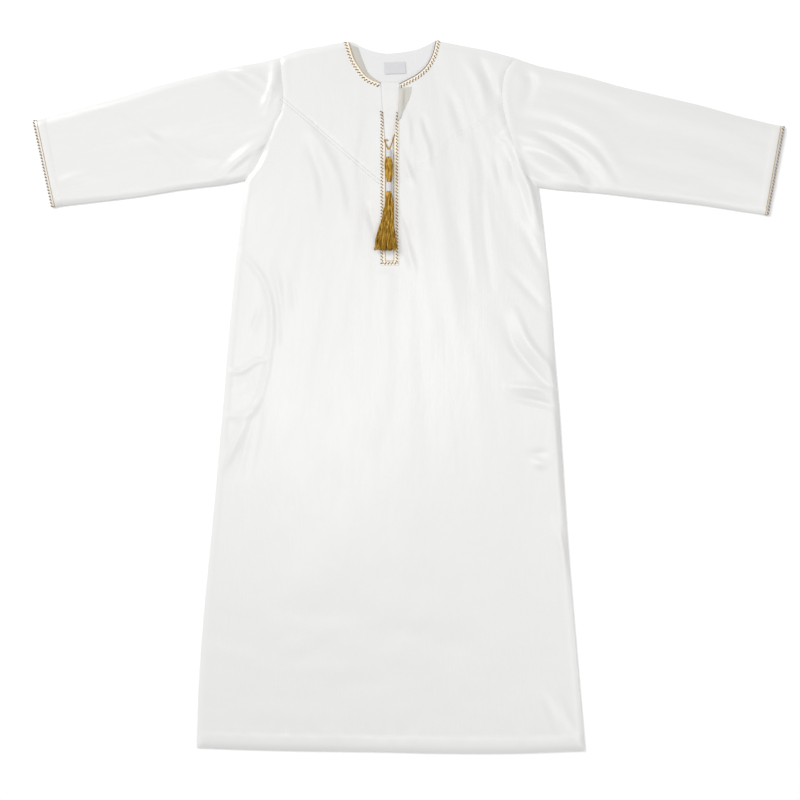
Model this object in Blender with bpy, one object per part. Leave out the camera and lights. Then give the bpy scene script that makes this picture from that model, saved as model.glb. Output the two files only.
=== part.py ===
"""Embroidered long gown laid flat: a child's white satin gown with gold trim and a gold tassel.

The gown lies on its back. +Y points to the neck, +X to the wearer's left, and +Z up from the
surface that it lies on. Plan points are in millimetres from the middle of the gown's box.
"""
import math
from collections import namedtuple

import bpy
from mathutils import Vector
from mathutils.geometry import delaunay_2d_cdt

MM = 0.001

# Driving sizes, in millimetres
WALL = 1.2
GAP = 0.3
EDGE_ROLL = 20.0
FLAT_HEIGHT = 4.6
EDGE_TOP = 2 * WALL + GAP
SEAM_SHIFT = 0.4
CURVE_PARTS = 12
OUTLINE_STEP = 17.0
CLOTH_STEP = 26.0
FOLD_STEP = 17.0
POINT_CLEARANCE = 7.0
TRIM_WIDTH = 8.0
TRIM_INSET = 0.8
TRIM_THICKNESS = 1.0
TRIM_STEP = 9.0
TRIM_TOP_MARGIN = 4.0
TRIM_SLIT_MARGIN = 1.5
CUFF_TRIM_WIDTH = 7.0
STRIP_THICKNESS = 1.0
LABEL_THICKNESS = 0.8

# Outline of the gown in plan, as curves through these points, each from the neck outwards
RIGHT_SHOULDER = [(-84.0, 498.0), (-103, 495), (-124, 491), (-152, 486), (-180, 476)]
RIGHT_ARMHOLE = [(-180, 476), (-178.5, 451), (-176, 423), (-179.5, 399), (-187, 385), (-195, 364),
                 (-204, 346), (-213, 324), (-229, 304)]
RIGHT_SLEEVE_TOP = [(-180, 476), (-208, 469), (-232, 465), (-264, 458), (-348, 437), (-404, 420),
                    (-527.4, 386.4)]
RIGHT_SLEEVE_UNDER = [(-229, 304), (-246, 300), (-264, 297), (-320, 290), (-376, 281), (-432, 274),
                      (-500.8, 266)]
RIGHT_SIDE = [(-229, 304), (-232, 283), (-236, 241), (-242, 192), (-247, 136), (-253, 73), (-259, -4),
              (-264, -60), (-274, -172), (-285, -284), (-293.5, -396), (-297, -491.4)]
HEM = [(-297, -491.4), (-222, -494), (-152, -495.6), (-47, -497), (44, -498.9), (142, -499.1),
       (246.7, -495.6)]
LEFT_SIDE = [(181, 294), (185, 262), (191, 206), (198, 136), (203, 66), (209, -4), (213, -60),
             (220, -172), (228.5, -284), (238, -396), (246.7, -495.6)]
LEFT_SLEEVE_UNDER = [(181, 294), (212, 290), (268, 285.5), (338, 277), (408, 269), (464, 260.5),
                     (504.3, 254.8)]
LEFT_SLEEVE_TOP = [(149, 475), (184, 463.5), (240, 451), (296, 435.5), (338, 425.5), (408, 409),
                   (464, 393.5), (527.4, 378)]
LEFT_ARMHOLE = [(149, 475), (136, 458), (131, 436), (131, 413), (137, 383), (144, 362), (153, 337),
                (163, 312), (181, 294)]
LEFT_SHOULDER = [(37.5, 499.4), (58, 495.5), (86, 490), (114, 484.5), (149, 475)]
BACK_NECK = [(-84.0, 498.0), (-75, 496), (-68, 491.5), (-54, 486), (-40, 482.5), (-26, 481.5), (2, 485),
             (16, 488.5), (29, 494.5), (37.5, 499.4)]

# Front neckline and slit, each from its upper end down
RIGHT_NECK = [(-84.0, 498.0), (-77, 476), (-68, 460.5), (-57, 448), (-41, 440.5)]
LEFT_NECK = [(37.5, 499.4), (32.5, 480), (23.5, 463.5), (10, 451.5), (-4, 444), (-13, 439)]
SLIT_RIGHT_EDGE = [(-39.5, 437), (-37, 399), (-33.2, 357)]
SLIT_LEFT_EDGE = [(-13.3, 436), (-15.6, 399), (-21.1, 360.5)]
PLACKET_TOP_Y = 381.0
PLACKET_BOTTOM_Y = 185.0
PLACKET_RIGHT_X = -38.8
PLACKET_LEFT_X = -14.0
PLACKET_SIDE_PARTS = 3
SLIT_INSET = 0.8

# The strip that shows inside the neck on the wearer's right: its inner edge, from the top down
FACING_INNER_EDGE = [(-71, 488), (-67, 478), (-63, 468), (-57, 454.5), (-46, 446.5)]
FACING_NECK_CLEARANCE = 0.6
FACING_RISE = 0.8
FACING_PARTS = 7
FACING_NECK_START = 0.13
FACING_NECK_END = 0.93

UNDERLAP = [(-43, 349), (-11, 349), (-9, 395), (-8, 430), (-14.5, 440.5), (-38.5, 442), (-45, 430),
            (-44, 395)]
LABEL = [(-34.4, 468.6), (-5, 470.1), (-3.9, 453.6), (-33.5, 452.5)]

# Largest folds of the front and sleeves: each runs along a path, and a trough has a height below zero
FOLD_END_SHARE = 0.08
Fold = namedtuple("Fold", "name half_width height path")
FOLDS = [
    Fold("right sleeve head trough", 12, -1.9, [(-271, 458), (-236, 437), (-205, 416)]),
    Fold("right sleeve head ridge", 11, 3.0, [(-258, 468), (-219, 449), (-194, 428)]),
    Fold("right armhole ridge", 10, 2.8, [(-187, 463), (-190, 433), (-203, 403)]),
    Fold("right underarm trough", 10, -1.9, [(-197, 353), (-211, 332), (-229, 308)]),
    Fold("right underarm ridge", 12, 2.8, [(-205, 361), (-235, 338), (-266, 312)]),
    Fold("right sleeve swell", 26, 1.4, [(-306, 388), (-376, 374), (-446, 360)]),
    Fold("left sleeve head trough", 13, -1.9, [(156, 463), (170, 441), (159, 410)]),
    Fold("left sleeve trough", 10, -1.9, [(145, 363), (198, 349), (233, 325), (257, 293)]),
    Fold("left sleeve ridge", 13, 2.8, [(150, 378), (205, 367), (252, 340), (283, 300)]),
    Fold("left underarm ridge", 10, 2.2, [(156, 346), (212, 328), (240, 300)]),
    Fold("left chest trough", 11, -1.8, [(97, 475), (114, 437), (128, 402)]),
    Fold("left neck trough", 11, -1.5, [(58, 427), (69, 395), (79, 364)]),
    Fold("long chest trough", 11, -1.8, [(100, 332), (105, 234), (115, 150)]),
    Fold("long chest ridge", 11, 1.6, [(82, 325), (86, 234), (95, 157)]),
    Fold("left side ridge", 12, 2.0, [(145, 353), (170, 297), (184, 227)]),
    Fold("left waist trough", 10, -1.9, [(132, 108), (149, 66), (191, 17), (206, -1)]),
    Fold("left waist ridge", 11, 2.4, [(147, 118), (166, 74), (203, 30)]),
    Fold("left hip trough", 9, -1.8, [(146, -1), (177, -6), (208, -15)]),
    Fold("left hip ridge", 9, 1.8, [(139, 14), (173, 12), (206, 5)]),
    Fold("pocket edge", 9, 1.6, [(-228, 200), (-205, 168), (-194, 129), (-191, 91), (-197, 35),
                                 (-207, -7)]),
    Fold("pocket groove", 8, -1.5, [(-182, 162), (-180, 112), (-181, 78)]),
    Fold("pocket mouth ridge", 9, 1.8, [(-252, 35), (-236, 35), (-221, 46), (-205, 50)]),
    Fold("right hip ridge", 10, 1.8, [(-226, -27), (-242, -60), (-259, -98)]),
    Fold("right hip groove", 9, -1.6, [(-208, -15), (-226, -112)]),
    Fold("chest swell", 40, 1.4, [(-112, 304), (-94, 241), (-90, 171)]),
    Fold("shoulder crease", 16, 1.2, [(-152, 388), (-110, 318), (-92, 240)]),
]

# Tassel, down its length: y, half width and half depth of each round section
Section = namedtuple("Section", "y half_width half_depth")
TASSEL_X = -27.8
TASSEL_HALF_DEPTH = 4.2
TASSEL_SIDES = 14
UPPER_WRAP = [Section(346.4, 3.3, 2.6), Section(341, 3.5, 2.8), Section(336.6, 3.3, 2.6)]
BALL = [Section(336.3, 2.2, 1.8), Section(334.6, 3.9, 3.0), Section(331, 5.1, 3.9), Section(326, 5.5, 4.2),
        Section(317, 5.4, 4.1), Section(309, 4.5, 3.5), Section(301.3, 3.1, 2.6)]
LOWER_WRAP = [Section(301.0, 3.6, 2.8), Section(295, 3.9, 3.0), Section(288.7, 3.7, 2.9)]
LOOP_RADIUS = 0.9
LOOP_SIDES = 8
LOOP_STEP = 2.2
LOOP_PATH = [(-32.8, 357.5, 0), (-31.2, 352.5, 0.9), (-28.6, 348.2, 2.2), (-26.6, 348.6, 2.2),
             (-24.4, 353.5, 0.9), (-21.2, 360.5, 0)]

# Skirt of the tassel: its head and the levels that the strands pass through
Level = namedtuple("Level", "y right_x left_x half_depth lift")
SKIRT_HEAD = [Level(288.4, -31.4, -24.6, 2.8, 4.2), Level(285.5, -32.3, -23.4, 3.3, 4.2),
              Level(280, -32.8, -22.6, 3.6, 4.2)]
SKIRT_STRANDS = [Level(267.4, -34.1, -20.9, 3.9, 4.4), Level(245, -39.1, -20.1, 4.2, 4.7),
                 Level(229.6, -44.5, -19.0, 4.4, 5.0), Level(205.4, -48.7, -15.4, 4.5, 5.2)]
STRAND_COLUMNS = 12
STRAND_ROWS = 7
STRAND_ROOT_RADIUS = 0.20
STRAND_TIP_RADIUS = 0.42
STRAND_END_VARIATION = 1.4
STRAND_CORNER_ANGLES = (210, 90, -30)

# Places across a flattened sleeve, from its top fold to its underarm fold
ACROSS = [0, 0.016, 0.08, 0.17, 0.27, 0.38, 0.5, 0.62, 0.73, 0.83, 0.92, 0.984, 1]
INNER_EDGE = 0.015
INNER_NEXT = 0.032
ALONG_COUNT = 19
ALONG_CROWDING = 1.15
BULGE_FADE = 1.5

Finish = namedtuple("Finish", "colour roughness metallic")
SATIN = Finish((0.87, 0.87, 0.86), 0.42, 0.0)
SATIN_INSIDE = Finish((0.80, 0.79, 0.76), 0.55, 0.0)
GOLD_BRAID = Finish((0.72, 0.54, 0.24), 0.38, 0.2)
LABEL_CLOTH = Finish((0.82, 0.83, 0.86), 0.6, 0.0)
GOLD_SILK = Finish((0.45, 0.27, 0.04), 0.45, 0.0)
WHITE_THREAD = Finish((0.85, 0.85, 0.85), 0.5, 0.0)


def clear_scene():
    for thing in list(bpy.data.objects):
        bpy.data.objects.remove(thing, do_unlink=True)


def make_material(name, finish):
    material = bpy.data.materials.new(name)
    material.use_nodes = True
    shader = material.node_tree.nodes["Principled BSDF"]
    shader.inputs["Base Color"].default_value = (*finish.colour, 1.0)
    shader.inputs["Roughness"].default_value = finish.roughness
    shader.inputs["Metallic"].default_value = finish.metallic
    return material


def make_object(name, points, faces, finish):
    """One closed piece from points in millimetres."""
    mesh = bpy.data.meshes.new(name)
    mesh.from_pydata([(x * MM, y * MM, z * MM) for x, y, z in points], [], faces)
    mesh.update()
    mesh.materials.append(make_material(name, finish))
    bpy.context.collection.objects.link(bpy.data.objects.new(name, mesh))


def spline_point(a, b, c, d, t):
    """Catmull-Rom point between b and c."""
    bend = a * 2 - b * 5 + c * 4 - d
    twist = b * 3 - a - c * 3 + d
    return (b * 2 + (c - a) * t + bend * t * t + twist * t ** 3) * 0.5


def dense_curve(points):
    """Many points along a smooth curve through the given ones, in two or three dimensions."""
    knots = [Vector(p) for p in points]
    knots = [knots[0] * 2 - knots[1]] + knots + [knots[-1] * 2 - knots[-2]]
    result = []
    for i in range(1, len(knots) - 2):
        for j in range(CURVE_PARTS):
            result.append(spline_point(knots[i - 1], knots[i], knots[i + 1], knots[i + 2], j / CURVE_PARTS))
    result.append(knots[-2])
    return result


def at_fractions(points, fractions):
    """Points on the smooth curve at these fractions of its length."""
    dense = dense_curve(points)
    lengths = [0.0]
    for a, b in zip(dense, dense[1:]):
        lengths.append(lengths[-1] + (b - a).length)
    result = []
    for fraction in fractions:
        target = min(max(fraction, 0.0), 1.0) * lengths[-1]
        i = 0
        while i < len(dense) - 2 and lengths[i + 1] < target:
            i += 1
        span = lengths[i + 1] - lengths[i]
        result.append(dense[i].lerp(dense[i + 1], (target - lengths[i]) / span))
    return result


def curve_length(points):
    dense = dense_curve(points)
    return sum((b - a).length for a, b in zip(dense, dense[1:]))


def at_step(points, step):
    """Points on the smooth curve about a step apart, with both ends."""
    count = max(1, round(curve_length(points) / step))
    return at_fractions(points, [i / count for i in range(count + 1)])


def distance_to_segment(point, a, b):
    """Distance from a point to a segment, and the fraction along it of the nearest place."""
    run = b - a
    t = max(0.0, min(1.0, (point - a).dot(run) / run.length_squared))
    return (point - a - run * t).length, t


def distance_to_path(point, path):
    """Distance to a path of points, and the fraction of its segments passed at the nearest place."""
    best, place = 1e9, 0.0
    for i, (a, b) in enumerate(zip(path, path[1:])):
        distance, t = distance_to_segment(point, a, b)
        if distance < best:
            best, place = distance, (i + t) / (len(path) - 1)
    return best, place


def inside(point, loop):
    """Whether a plan point is inside a closed loop."""
    result = False
    for a, b in zip(loop, loop[1:] + loop[:1]):
        if (a[1] > point[1]) != (b[1] > point[1]):
            if point[0] < a[0] + (b[0] - a[0]) * (point[1] - a[1]) / (b[1] - a[1]):
                result = not result
    return result


def offset_curve(points, distance):
    """The curve moved to its right-hand side by a distance."""
    result = []
    for i, point in enumerate(points):
        ahead = points[min(i + 1, len(points) - 1)]
        behind = points[max(i - 1, 0)]
        run = (ahead - behind).normalized()
        result.append(point + Vector((run.y, -run.x)) * distance)
    return result


# The gown's outer edge, all the way round but for the neck
OUTER_EDGE = (at_step(RIGHT_SHOULDER, OUTLINE_STEP) + at_step(RIGHT_SLEEVE_TOP, OUTLINE_STEP)
              + at_step(RIGHT_SLEEVE_UNDER[::-1], OUTLINE_STEP) + at_step(RIGHT_SIDE, OUTLINE_STEP)
              + at_step(HEM, OUTLINE_STEP) + at_step(LEFT_SIDE[::-1], OUTLINE_STEP)
              + at_step(LEFT_SLEEVE_UNDER, OUTLINE_STEP) + at_step(LEFT_SLEEVE_TOP[::-1], OUTLINE_STEP)
              + at_step(LEFT_SHOULDER[::-1], OUTLINE_STEP))
OUTER_EDGE = [p for i, p in enumerate(OUTER_EDGE) if i == 0 or (p - OUTER_EDGE[i - 1]).length > 0.5]
FOLD_PATHS = [at_step(fold.path, FOLD_STEP) for fold in FOLDS]


def fold_height(point):
    """Sum of the folds at a plan point. Each dies away at its two ends."""
    total = 0.0
    for fold, path in zip(FOLDS, FOLD_PATHS):
        distance, place = distance_to_path(point, path)
        if distance < fold.half_width:
            across = 0.5 + 0.5 * math.cos(math.pi * distance / fold.half_width)
            along = FOLD_END_SHARE + (1 - 2 * FOLD_END_SHARE) * place
            total += fold.height * across * math.sin(math.pi * along)
    return total


def cloth_top(x, y):
    """Height of the outer face of the front and of the sleeves' upper layer."""
    point = Vector((x, y))
    distance, _ = distance_to_path(point, OUTER_EDGE)
    rise = math.sin(0.5 * math.pi * min(distance / EDGE_ROLL, 1.0))
    return max(EDGE_TOP, EDGE_TOP + rise * (FLAT_HEIGHT - EDGE_TOP + fold_height(point)))


def middle_of(plan, face):
    return sum((plan[i] for i in face), Vector((0, 0))) / len(face)


def triangulate(loop, inner_loops, points):
    """Plan points and triangles of the cloth inside a loop, with the inner loops kept as edges."""
    corners = []
    edges = []
    for ring in [loop] + inner_loops:
        start = len(corners)
        corners += [Vector(p) for p in ring]
        edges += [(start + i, start + (i + 1) % len(ring)) for i in range(len(ring))]
    corners += points
    plan, _, faces = delaunay_2d_cdt(corners, edges, [], 0, 1e-5)[:3]
    kept = []
    for face in faces:
        a, b, c = (plan[i] for i in face)
        if inside(middle_of(plan, face), loop):
            turned = (b - a).cross(c - a) < 0
            kept.append(tuple(reversed(face)) if turned else tuple(face))
    return plan, kept


def slab(name, plan, faces, bottom, top, finish):
    """A closed wall over triangles in plan, between two heights given for each plan point."""
    used = sorted({i for face in faces for i in face})
    place = {old: new for new, old in enumerate(used)}
    count = len(used)
    points = [(*plan[i], top(*plan[i])) for i in used]
    points += [(*plan[i], bottom(*plan[i])) for i in used]
    upper = [tuple(place[i] for i in face) for face in faces]
    lower = [tuple(i + count for i in reversed(face)) for face in upper]
    directed = {(face[i], face[(i + 1) % 3]) for face in upper for i in range(3)}
    sides = []
    for a, b in sorted(directed):
        if (b, a) not in directed:
            sides.append((b, a, a + count, b + count))
    make_object(name, points, upper + lower + sides, finish)


def spread_points(loops, candidates, bounds):
    """Candidates inside the bounds that keep clear of the loops and of each other."""
    cell = POINT_CLEARANCE
    around = [(i, j) for i in (-1, 0, 1) for j in (-1, 0, 1)]
    taken = {}

    def is_clear(point):
        column, row = int(point.x // cell), int(point.y // cell)
        near = [other for i, j in around for other in taken.get((column + i, row + j), [])]
        return all((point - other).length > POINT_CLEARANCE for other in near)

    def take(point):
        taken.setdefault((int(point.x // cell), int(point.y // cell)), []).append(point)

    for loop in loops:
        for point in loop:
            take(point)
    kept = []
    for point in candidates:
        if inside(point, bounds) and is_clear(point):
            take(point)
            kept.append(point)
    return kept


def fold_points():
    """Points along the crest and the two feet of each fold."""
    result = []
    for fold, path in zip(FOLDS, FOLD_PATHS):
        result += path
        result += offset_curve(path, fold.half_width)
        result += offset_curve(path, -fold.half_width)
    return result


def grid_points(bounds):
    """Points of an even triangular grid over the bounds."""
    low_x, high_x = min(p.x for p in bounds), max(p.x for p in bounds)
    low_y, high_y = min(p.y for p in bounds), max(p.y for p in bounds)
    row_step = CLOTH_STEP * math.sqrt(0.75)
    result = []
    for row in range(int((high_y - low_y) / row_step) + 1):
        shift = CLOTH_STEP / 2 if row % 2 else 0.0
        for column in range(int((high_x - low_x) / CLOTH_STEP) + 1):
            result.append(Vector((low_x + shift + column * CLOTH_STEP, low_y + row * row_step)))
    return result


def joined(*curves):
    """One closed loop from curves that follow each other, with no point twice."""
    loop = []
    for points in curves:
        for point in points:
            if not loop or (point - loop[-1]).length > 0.2:
                loop.append(point)
    if (loop[0] - loop[-1]).length <= 0.2:
        loop.pop()
    return loop


def body_sides():
    """The outline that front and back share: down the right side, along the hem and up the left."""
    return [at_step(RIGHT_SHOULDER, OUTLINE_STEP), at_fractions(RIGHT_ARMHOLE, ACROSS),
            at_step(RIGHT_SIDE, 2 * OUTLINE_STEP), at_step(HEM, 2 * OUTLINE_STEP),
            at_step(LEFT_SIDE[::-1], 2 * OUTLINE_STEP), at_fractions(LEFT_ARMHOLE, ACROSS)[::-1],
            at_step(LEFT_SHOULDER[::-1], OUTLINE_STEP)]


def neck_trim_loop(neck, side):
    """Plan outline of the trim along half the neckline; side is 1 with the cloth on the curve's right."""
    length = curve_length(neck)
    first, last = TRIM_TOP_MARGIN / length, 1.0 - TRIM_SLIT_MARGIN / length
    count = round(length / TRIM_STEP)
    middle = at_fractions(neck, [first + (last - first) * i / count for i in range(count + 1)])
    neck_side = offset_curve(middle, side * TRIM_INSET)
    cloth_side = offset_curve(middle, side * (TRIM_INSET + TRIM_WIDTH))
    return neck_side + cloth_side[::-1]


def placket_loop():
    """Plan outline of the placket: a strip with the slit's notch in its upper end."""
    right_edge = offset_curve(at_step(SLIT_RIGHT_EDGE, TRIM_STEP), SLIT_INSET)
    right_edge = [p for p in right_edge if p.y < PLACKET_TOP_Y]
    left_edge = offset_curve(at_step(SLIT_LEFT_EDGE, TRIM_STEP), -SLIT_INSET)
    left_edge = [p for p in left_edge if p.y < PLACKET_TOP_Y]
    right_edge[-1].y -= SLIT_INSET
    left_edge[-1].y -= SLIT_INSET
    drop = (PLACKET_BOTTOM_Y - PLACKET_TOP_Y) / PLACKET_SIDE_PARTS
    levels = [PLACKET_TOP_Y + drop * i for i in range(PLACKET_SIDE_PARTS + 1)]
    outer = [Vector((PLACKET_RIGHT_X, y)) for y in levels]
    outer += [Vector((PLACKET_LEFT_X, y)) for y in levels[::-1]]
    upper_right = Vector((right_edge[0].x, PLACKET_TOP_Y))
    upper_left = Vector((left_edge[0].x, PLACKET_TOP_Y))
    return outer + [upper_left] + left_edge + right_edge[::-1] + [upper_right]


def build_front():
    """The front with its folds, and the trims and placket that lie on it."""
    slit = at_step(SLIT_LEFT_EDGE, OUTLINE_STEP) + at_step(SLIT_RIGHT_EDGE[::-1], OUTLINE_STEP)
    loop = joined(*body_sides(), at_step(LEFT_NECK, TRIM_STEP), slit, at_step(RIGHT_NECK[::-1], TRIM_STEP))
    pieces = {"right_neck_trim": neck_trim_loop(RIGHT_NECK, 1),
              "left_neck_trim": neck_trim_loop(LEFT_NECK, -1), "placket": placket_loop()}
    loops = [loop] + list(pieces.values())
    points = spread_points(loops, fold_points() + grid_points(loop), loop)
    plan, faces = triangulate(loop, list(pieces.values()), points)
    slab("front", plan, faces, lambda x, y: cloth_top(x, y) - WALL, cloth_top, SATIN)
    for name, piece_loop in pieces.items():
        covered = [face for face in faces if inside(middle_of(plan, face), piece_loop)]
        finish = SATIN if name == "placket" else GOLD_BRAID
        slab(name, plan, covered, lambda x, y: cloth_top(x, y) + GAP,
             lambda x, y: cloth_top(x, y) + GAP + TRIM_THICKNESS, finish)


def build_back():
    """The back lies flat on the surface below."""
    loop = joined(*body_sides(), at_step(BACK_NECK[::-1], TRIM_STEP))
    plan, faces = triangulate(loop, [], [])
    slab("back", plan, faces, lambda x, y: 0.0, lambda x, y: WALL, SATIN)


def flat_strip(name, outline, bottom, thickness, finish):
    """A flat piece of this outline, lying at one height."""
    plan, faces = triangulate([Vector(p) for p in outline], [], [])
    slab(name, plan, faces, lambda x, y: bottom, lambda x, y: bottom + thickness, finish)


def build_neck_facing():
    """The strip slopes from the front's neck edge down to the back."""
    fractions = [i / FACING_PARTS for i in range(FACING_PARTS + 1)]
    inner = at_fractions(FACING_INNER_EDGE, fractions)
    neck_run = FACING_NECK_END - FACING_NECK_START
    beside = at_fractions(RIGHT_NECK, [FACING_NECK_START + neck_run * t for t in fractions])
    outer = offset_curve(beside, -FACING_NECK_CLEARANCE)
    low = WALL + GAP
    points = []
    for outside, within in zip(outer, inner):
        points += [(*outside, low + FACING_RISE), (*within, low)]
        points += [(*within, low + STRIP_THICKNESS), (*outside, low + FACING_RISE + STRIP_THICKNESS)]
    faces = ring_faces(len(outer), 4)
    make_object("neck_facing", points, faces, SATIN_INSIDE)


def ring_faces(rings, sides, first=0):
    """Side faces that join rings of points in order, and a cap at each end."""
    faces = []
    for ring in range(rings - 1):
        for i in range(sides):
            a = first + ring * sides + i
            b = first + ring * sides + (i + 1) % sides
            faces.append((a, b, b + sides, a + sides))
    faces.append(tuple(first + i for i in reversed(range(sides))))
    faces.append(tuple(first + (rings - 1) * sides + i for i in range(sides)))
    return faces


class SleevePatch:
    """The plan of a flattened sleeve between its armhole, cuff and two folded edges."""

    def __init__(self, armhole, top, under, shift):
        self.armhole = [p + Vector((shift, 0)) for p in at_fractions(armhole, ACROSS)]
        self.top, self.under, self.shift = top, under, shift

    def rails(self, along):
        """Top and under edge points at a fraction of the way to the cuff."""
        move = Vector((self.shift * (1 - along), 0))
        return at_fractions(self.top, [along])[0] + move, at_fractions(self.under, [along])[0] + move

    def armhole_point(self, across):
        """Point across the armhole, on the straight runs between its listed places."""
        i = 0
        while i < len(ACROSS) - 2 and ACROSS[i + 1] < across:
            i += 1
        return self.armhole[i].lerp(self.armhole[i + 1], (across - ACROSS[i]) / (ACROSS[i + 1] - ACROSS[i]))

    def station(self, along, places):
        """Plan points at these places across, at a fraction of the way to the cuff."""
        upper, lower = self.rails(along)
        first, last = self.armhole[0], self.armhole[-1]
        result = []
        for across in places:
            bulge = self.armhole_point(across) - first.lerp(last, across)
            result.append(upper.lerp(lower, across) + bulge * (1 - along) ** BULGE_FADE)
        return result


def build_tube(name, patch, alongs, lift, finish):
    """A flattened, hollow, open-ended tube of cloth along part of a sleeve."""
    inner_places = [INNER_EDGE, INNER_NEXT] + ACROSS[2:-2] + [1 - INNER_NEXT, 1 - INNER_EDGE]
    middle = EDGE_TOP / 2
    points = []
    for along in alongs:
        outer = patch.station(along, ACROSS)
        inner = patch.station(along, inner_places)
        tops = [cloth_top(p.x, p.y) + lift for p in outer]
        ring = [(*outer[0], middle)]
        ring += [(*p, z) for p, z in zip(outer[1:-1], tops[1:-1])] + [(*outer[-1], middle)]
        ring += [(*p, 0.0) for p in outer[-2:0:-1]]
        hollow = [(*inner[0], middle)]
        hollow += [(*p, z - WALL - lift) for p, z in zip(inner[1:-1], tops[1:-1])] + [(*inner[-1], middle)]
        hollow += [(*p, WALL) for p in inner[-2:0:-1]]
        points += ring + hollow
    sides = len(points) // len(alongs) // 2
    faces = []
    for station in range(len(alongs) - 1):
        start = station * 2 * sides
        ahead = start + 2 * sides
        for i in range(sides):
            j = (i + 1) % sides
            faces.append((start + i, start + j, ahead + j, ahead + i))
            faces.append((start + sides + j, start + sides + i, ahead + sides + i, ahead + sides + j))
    last = (len(alongs) - 1) * 2 * sides
    for i in range(sides):
        j = (i + 1) % sides
        faces.append((j, i, sides + i, sides + j))
        faces.append((last + i, last + j, last + sides + j, last + sides + i))
    if patch.shift < 0:
        faces = [tuple(reversed(face)) for face in faces]
    make_object(name, points, faces, finish)


def build_sleeve(side, armhole, top, under, shift):
    """A sleeve and the trimmed band at its end."""
    patch = SleevePatch(armhole, top, under, shift)
    length = curve_length(top)
    sleeve_end = 1 - (CUFF_TRIM_WIDTH + GAP) / length
    trim_start = 1 - CUFF_TRIM_WIDTH / length
    alongs = [sleeve_end * (i / ALONG_COUNT) ** ALONG_CROWDING for i in range(ALONG_COUNT + 1)]
    build_tube(side + "_sleeve", patch, alongs, 0.0, SATIN)
    build_tube(side + "_cuff_trim", patch, [trim_start, 1.0], GAP, GOLD_BRAID)


def round_rings(sections, sides, axis_height):
    """Rings of points round the tassel's axis, one for each section."""
    points = []
    for section in sections:
        for i in range(sides):
            angle = 2 * math.pi * i / sides
            points.append((TASSEL_X + section.half_width * math.cos(angle), section.y,
                           axis_height + section.half_depth * math.sin(angle)))
    return points


def build_round(name, sections, axis_height, finish):
    points = round_rings(sections, TASSEL_SIDES, axis_height)
    make_object(name, points, ring_faces(len(sections), TASSEL_SIDES), finish)


def build_loop(rest_height):
    """The cord that ties the tassel to the foot of the slit."""
    path = at_step(LOOP_PATH, LOOP_STEP)
    points = []
    for i, point in enumerate(path):
        run = (path[min(i + 1, len(path) - 1)] - path[max(i - 1, 0)]).normalized()
        side = run.cross(Vector((0, 0, 1))).normalized()
        up = side.cross(run)
        for j in range(LOOP_SIDES):
            angle = 2 * math.pi * j / LOOP_SIDES
            ring_point = point + side * math.cos(angle) * LOOP_RADIUS + up * math.sin(angle) * LOOP_RADIUS
            points.append((ring_point.x, ring_point.y, ring_point.z + rest_height + LOOP_RADIUS))
    faces = [tuple(reversed(face)) for face in ring_faces(len(path), LOOP_SIDES)]
    make_object("tassel_loop", points, faces, GOLD_SILK)


def skirt_point(level, across, up, rest_height):
    """Place in the skirt at a level; across and up run from -1 to 1 over its oval section."""
    middle = (level.right_x + level.left_x) / 2
    half = (level.left_x - level.right_x) / 2
    x = middle + half * across * math.sqrt(1 - up * up / 2)
    z = rest_height + level.lift + level.half_depth * up * math.sqrt(1 - across * across / 2)
    return Vector((x, level.y, z))


def build_skirt(rest_height):
    """The head is one closed form, and each strand grows out of its lower face."""
    columns, rows = STRAND_COLUMNS, STRAND_ROWS
    border = [(i, 0) for i in range(columns)] + [(columns, j) for j in range(rows)]
    border += [(i, rows) for i in range(columns, 0, -1)] + [(0, j) for j in range(rows, 0, -1)]
    points = []
    faces = []
    for level in SKIRT_HEAD[:-1]:
        for i, j in border:
            points.append(skirt_point(level, 2 * i / columns - 1, 2 * j / rows - 1, rest_height))
    sides = len(border)
    foot = len(points)
    for j in range(rows + 1):
        for i in range(columns + 1):
            points.append(skirt_point(SKIRT_HEAD[-1], 2 * i / columns - 1, 2 * j / rows - 1, rest_height))

    def foot_corner(i, j):
        return foot + j * (columns + 1) + i

    rings = [[level * sides + k for k in range(sides)] for level in range(len(SKIRT_HEAD) - 1)]
    rings.append([foot_corner(i, j) for i, j in border])
    for ring, below in zip(rings, rings[1:]):
        for k in range(sides):
            m = (k + 1) % sides
            faces.append((ring[k], ring[m], below[m], below[k]))
    faces.append(tuple(reversed(rings[0])))

    for j in range(rows):
        for i in range(columns):
            across = (2 * i + 1) / columns - 1
            up = (2 * j + 1) / rows - 1
            corners = [foot_corner(i + m, j + n) for m, n in ((0, 0), (0, 1), (1, 1), (1, 0))]
            levels = [SKIRT_HEAD[-1]] + SKIRT_STRANDS
            start = len(points)
            for k, level in enumerate(levels):
                share = k / (len(levels) - 1)
                radius = STRAND_ROOT_RADIUS + (STRAND_TIP_RADIUS - STRAND_ROOT_RADIUS) * share
                centre = skirt_point(level, across, up, rest_height)
                if k == len(levels) - 1:
                    centre.y += STRAND_END_VARIATION * math.sin(math.tau * (0.81 * i + 0.37 * j))
                for angle in STRAND_CORNER_ANGLES:
                    turn = math.radians(angle)
                    points.append(centre + Vector((radius * math.cos(turn), 0, radius * math.sin(turn))))
            right, top, left = start, start + 1, start + 2
            faces += [(corners[1], corners[0], right), (top, corners[1], right),
                      (corners[2], corners[1], top), (left, corners[2], top),
                      (corners[3], corners[2], left), (corners[0], corners[3], left),
                      (right, corners[0], left)]
            for k in range(len(levels) - 1):
                for m in range(3):
                    a = start + 3 * k + m
                    b = start + 3 * k + (m + 1) % 3
                    faces.append((b, a, a + 3, b + 3))
            tip = start + 3 * (len(levels) - 1)
            faces.append((tip + 2, tip + 1, tip))
    make_object("tassel_skirt", [tuple(p) for p in points], faces, GOLD_SILK)


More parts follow.
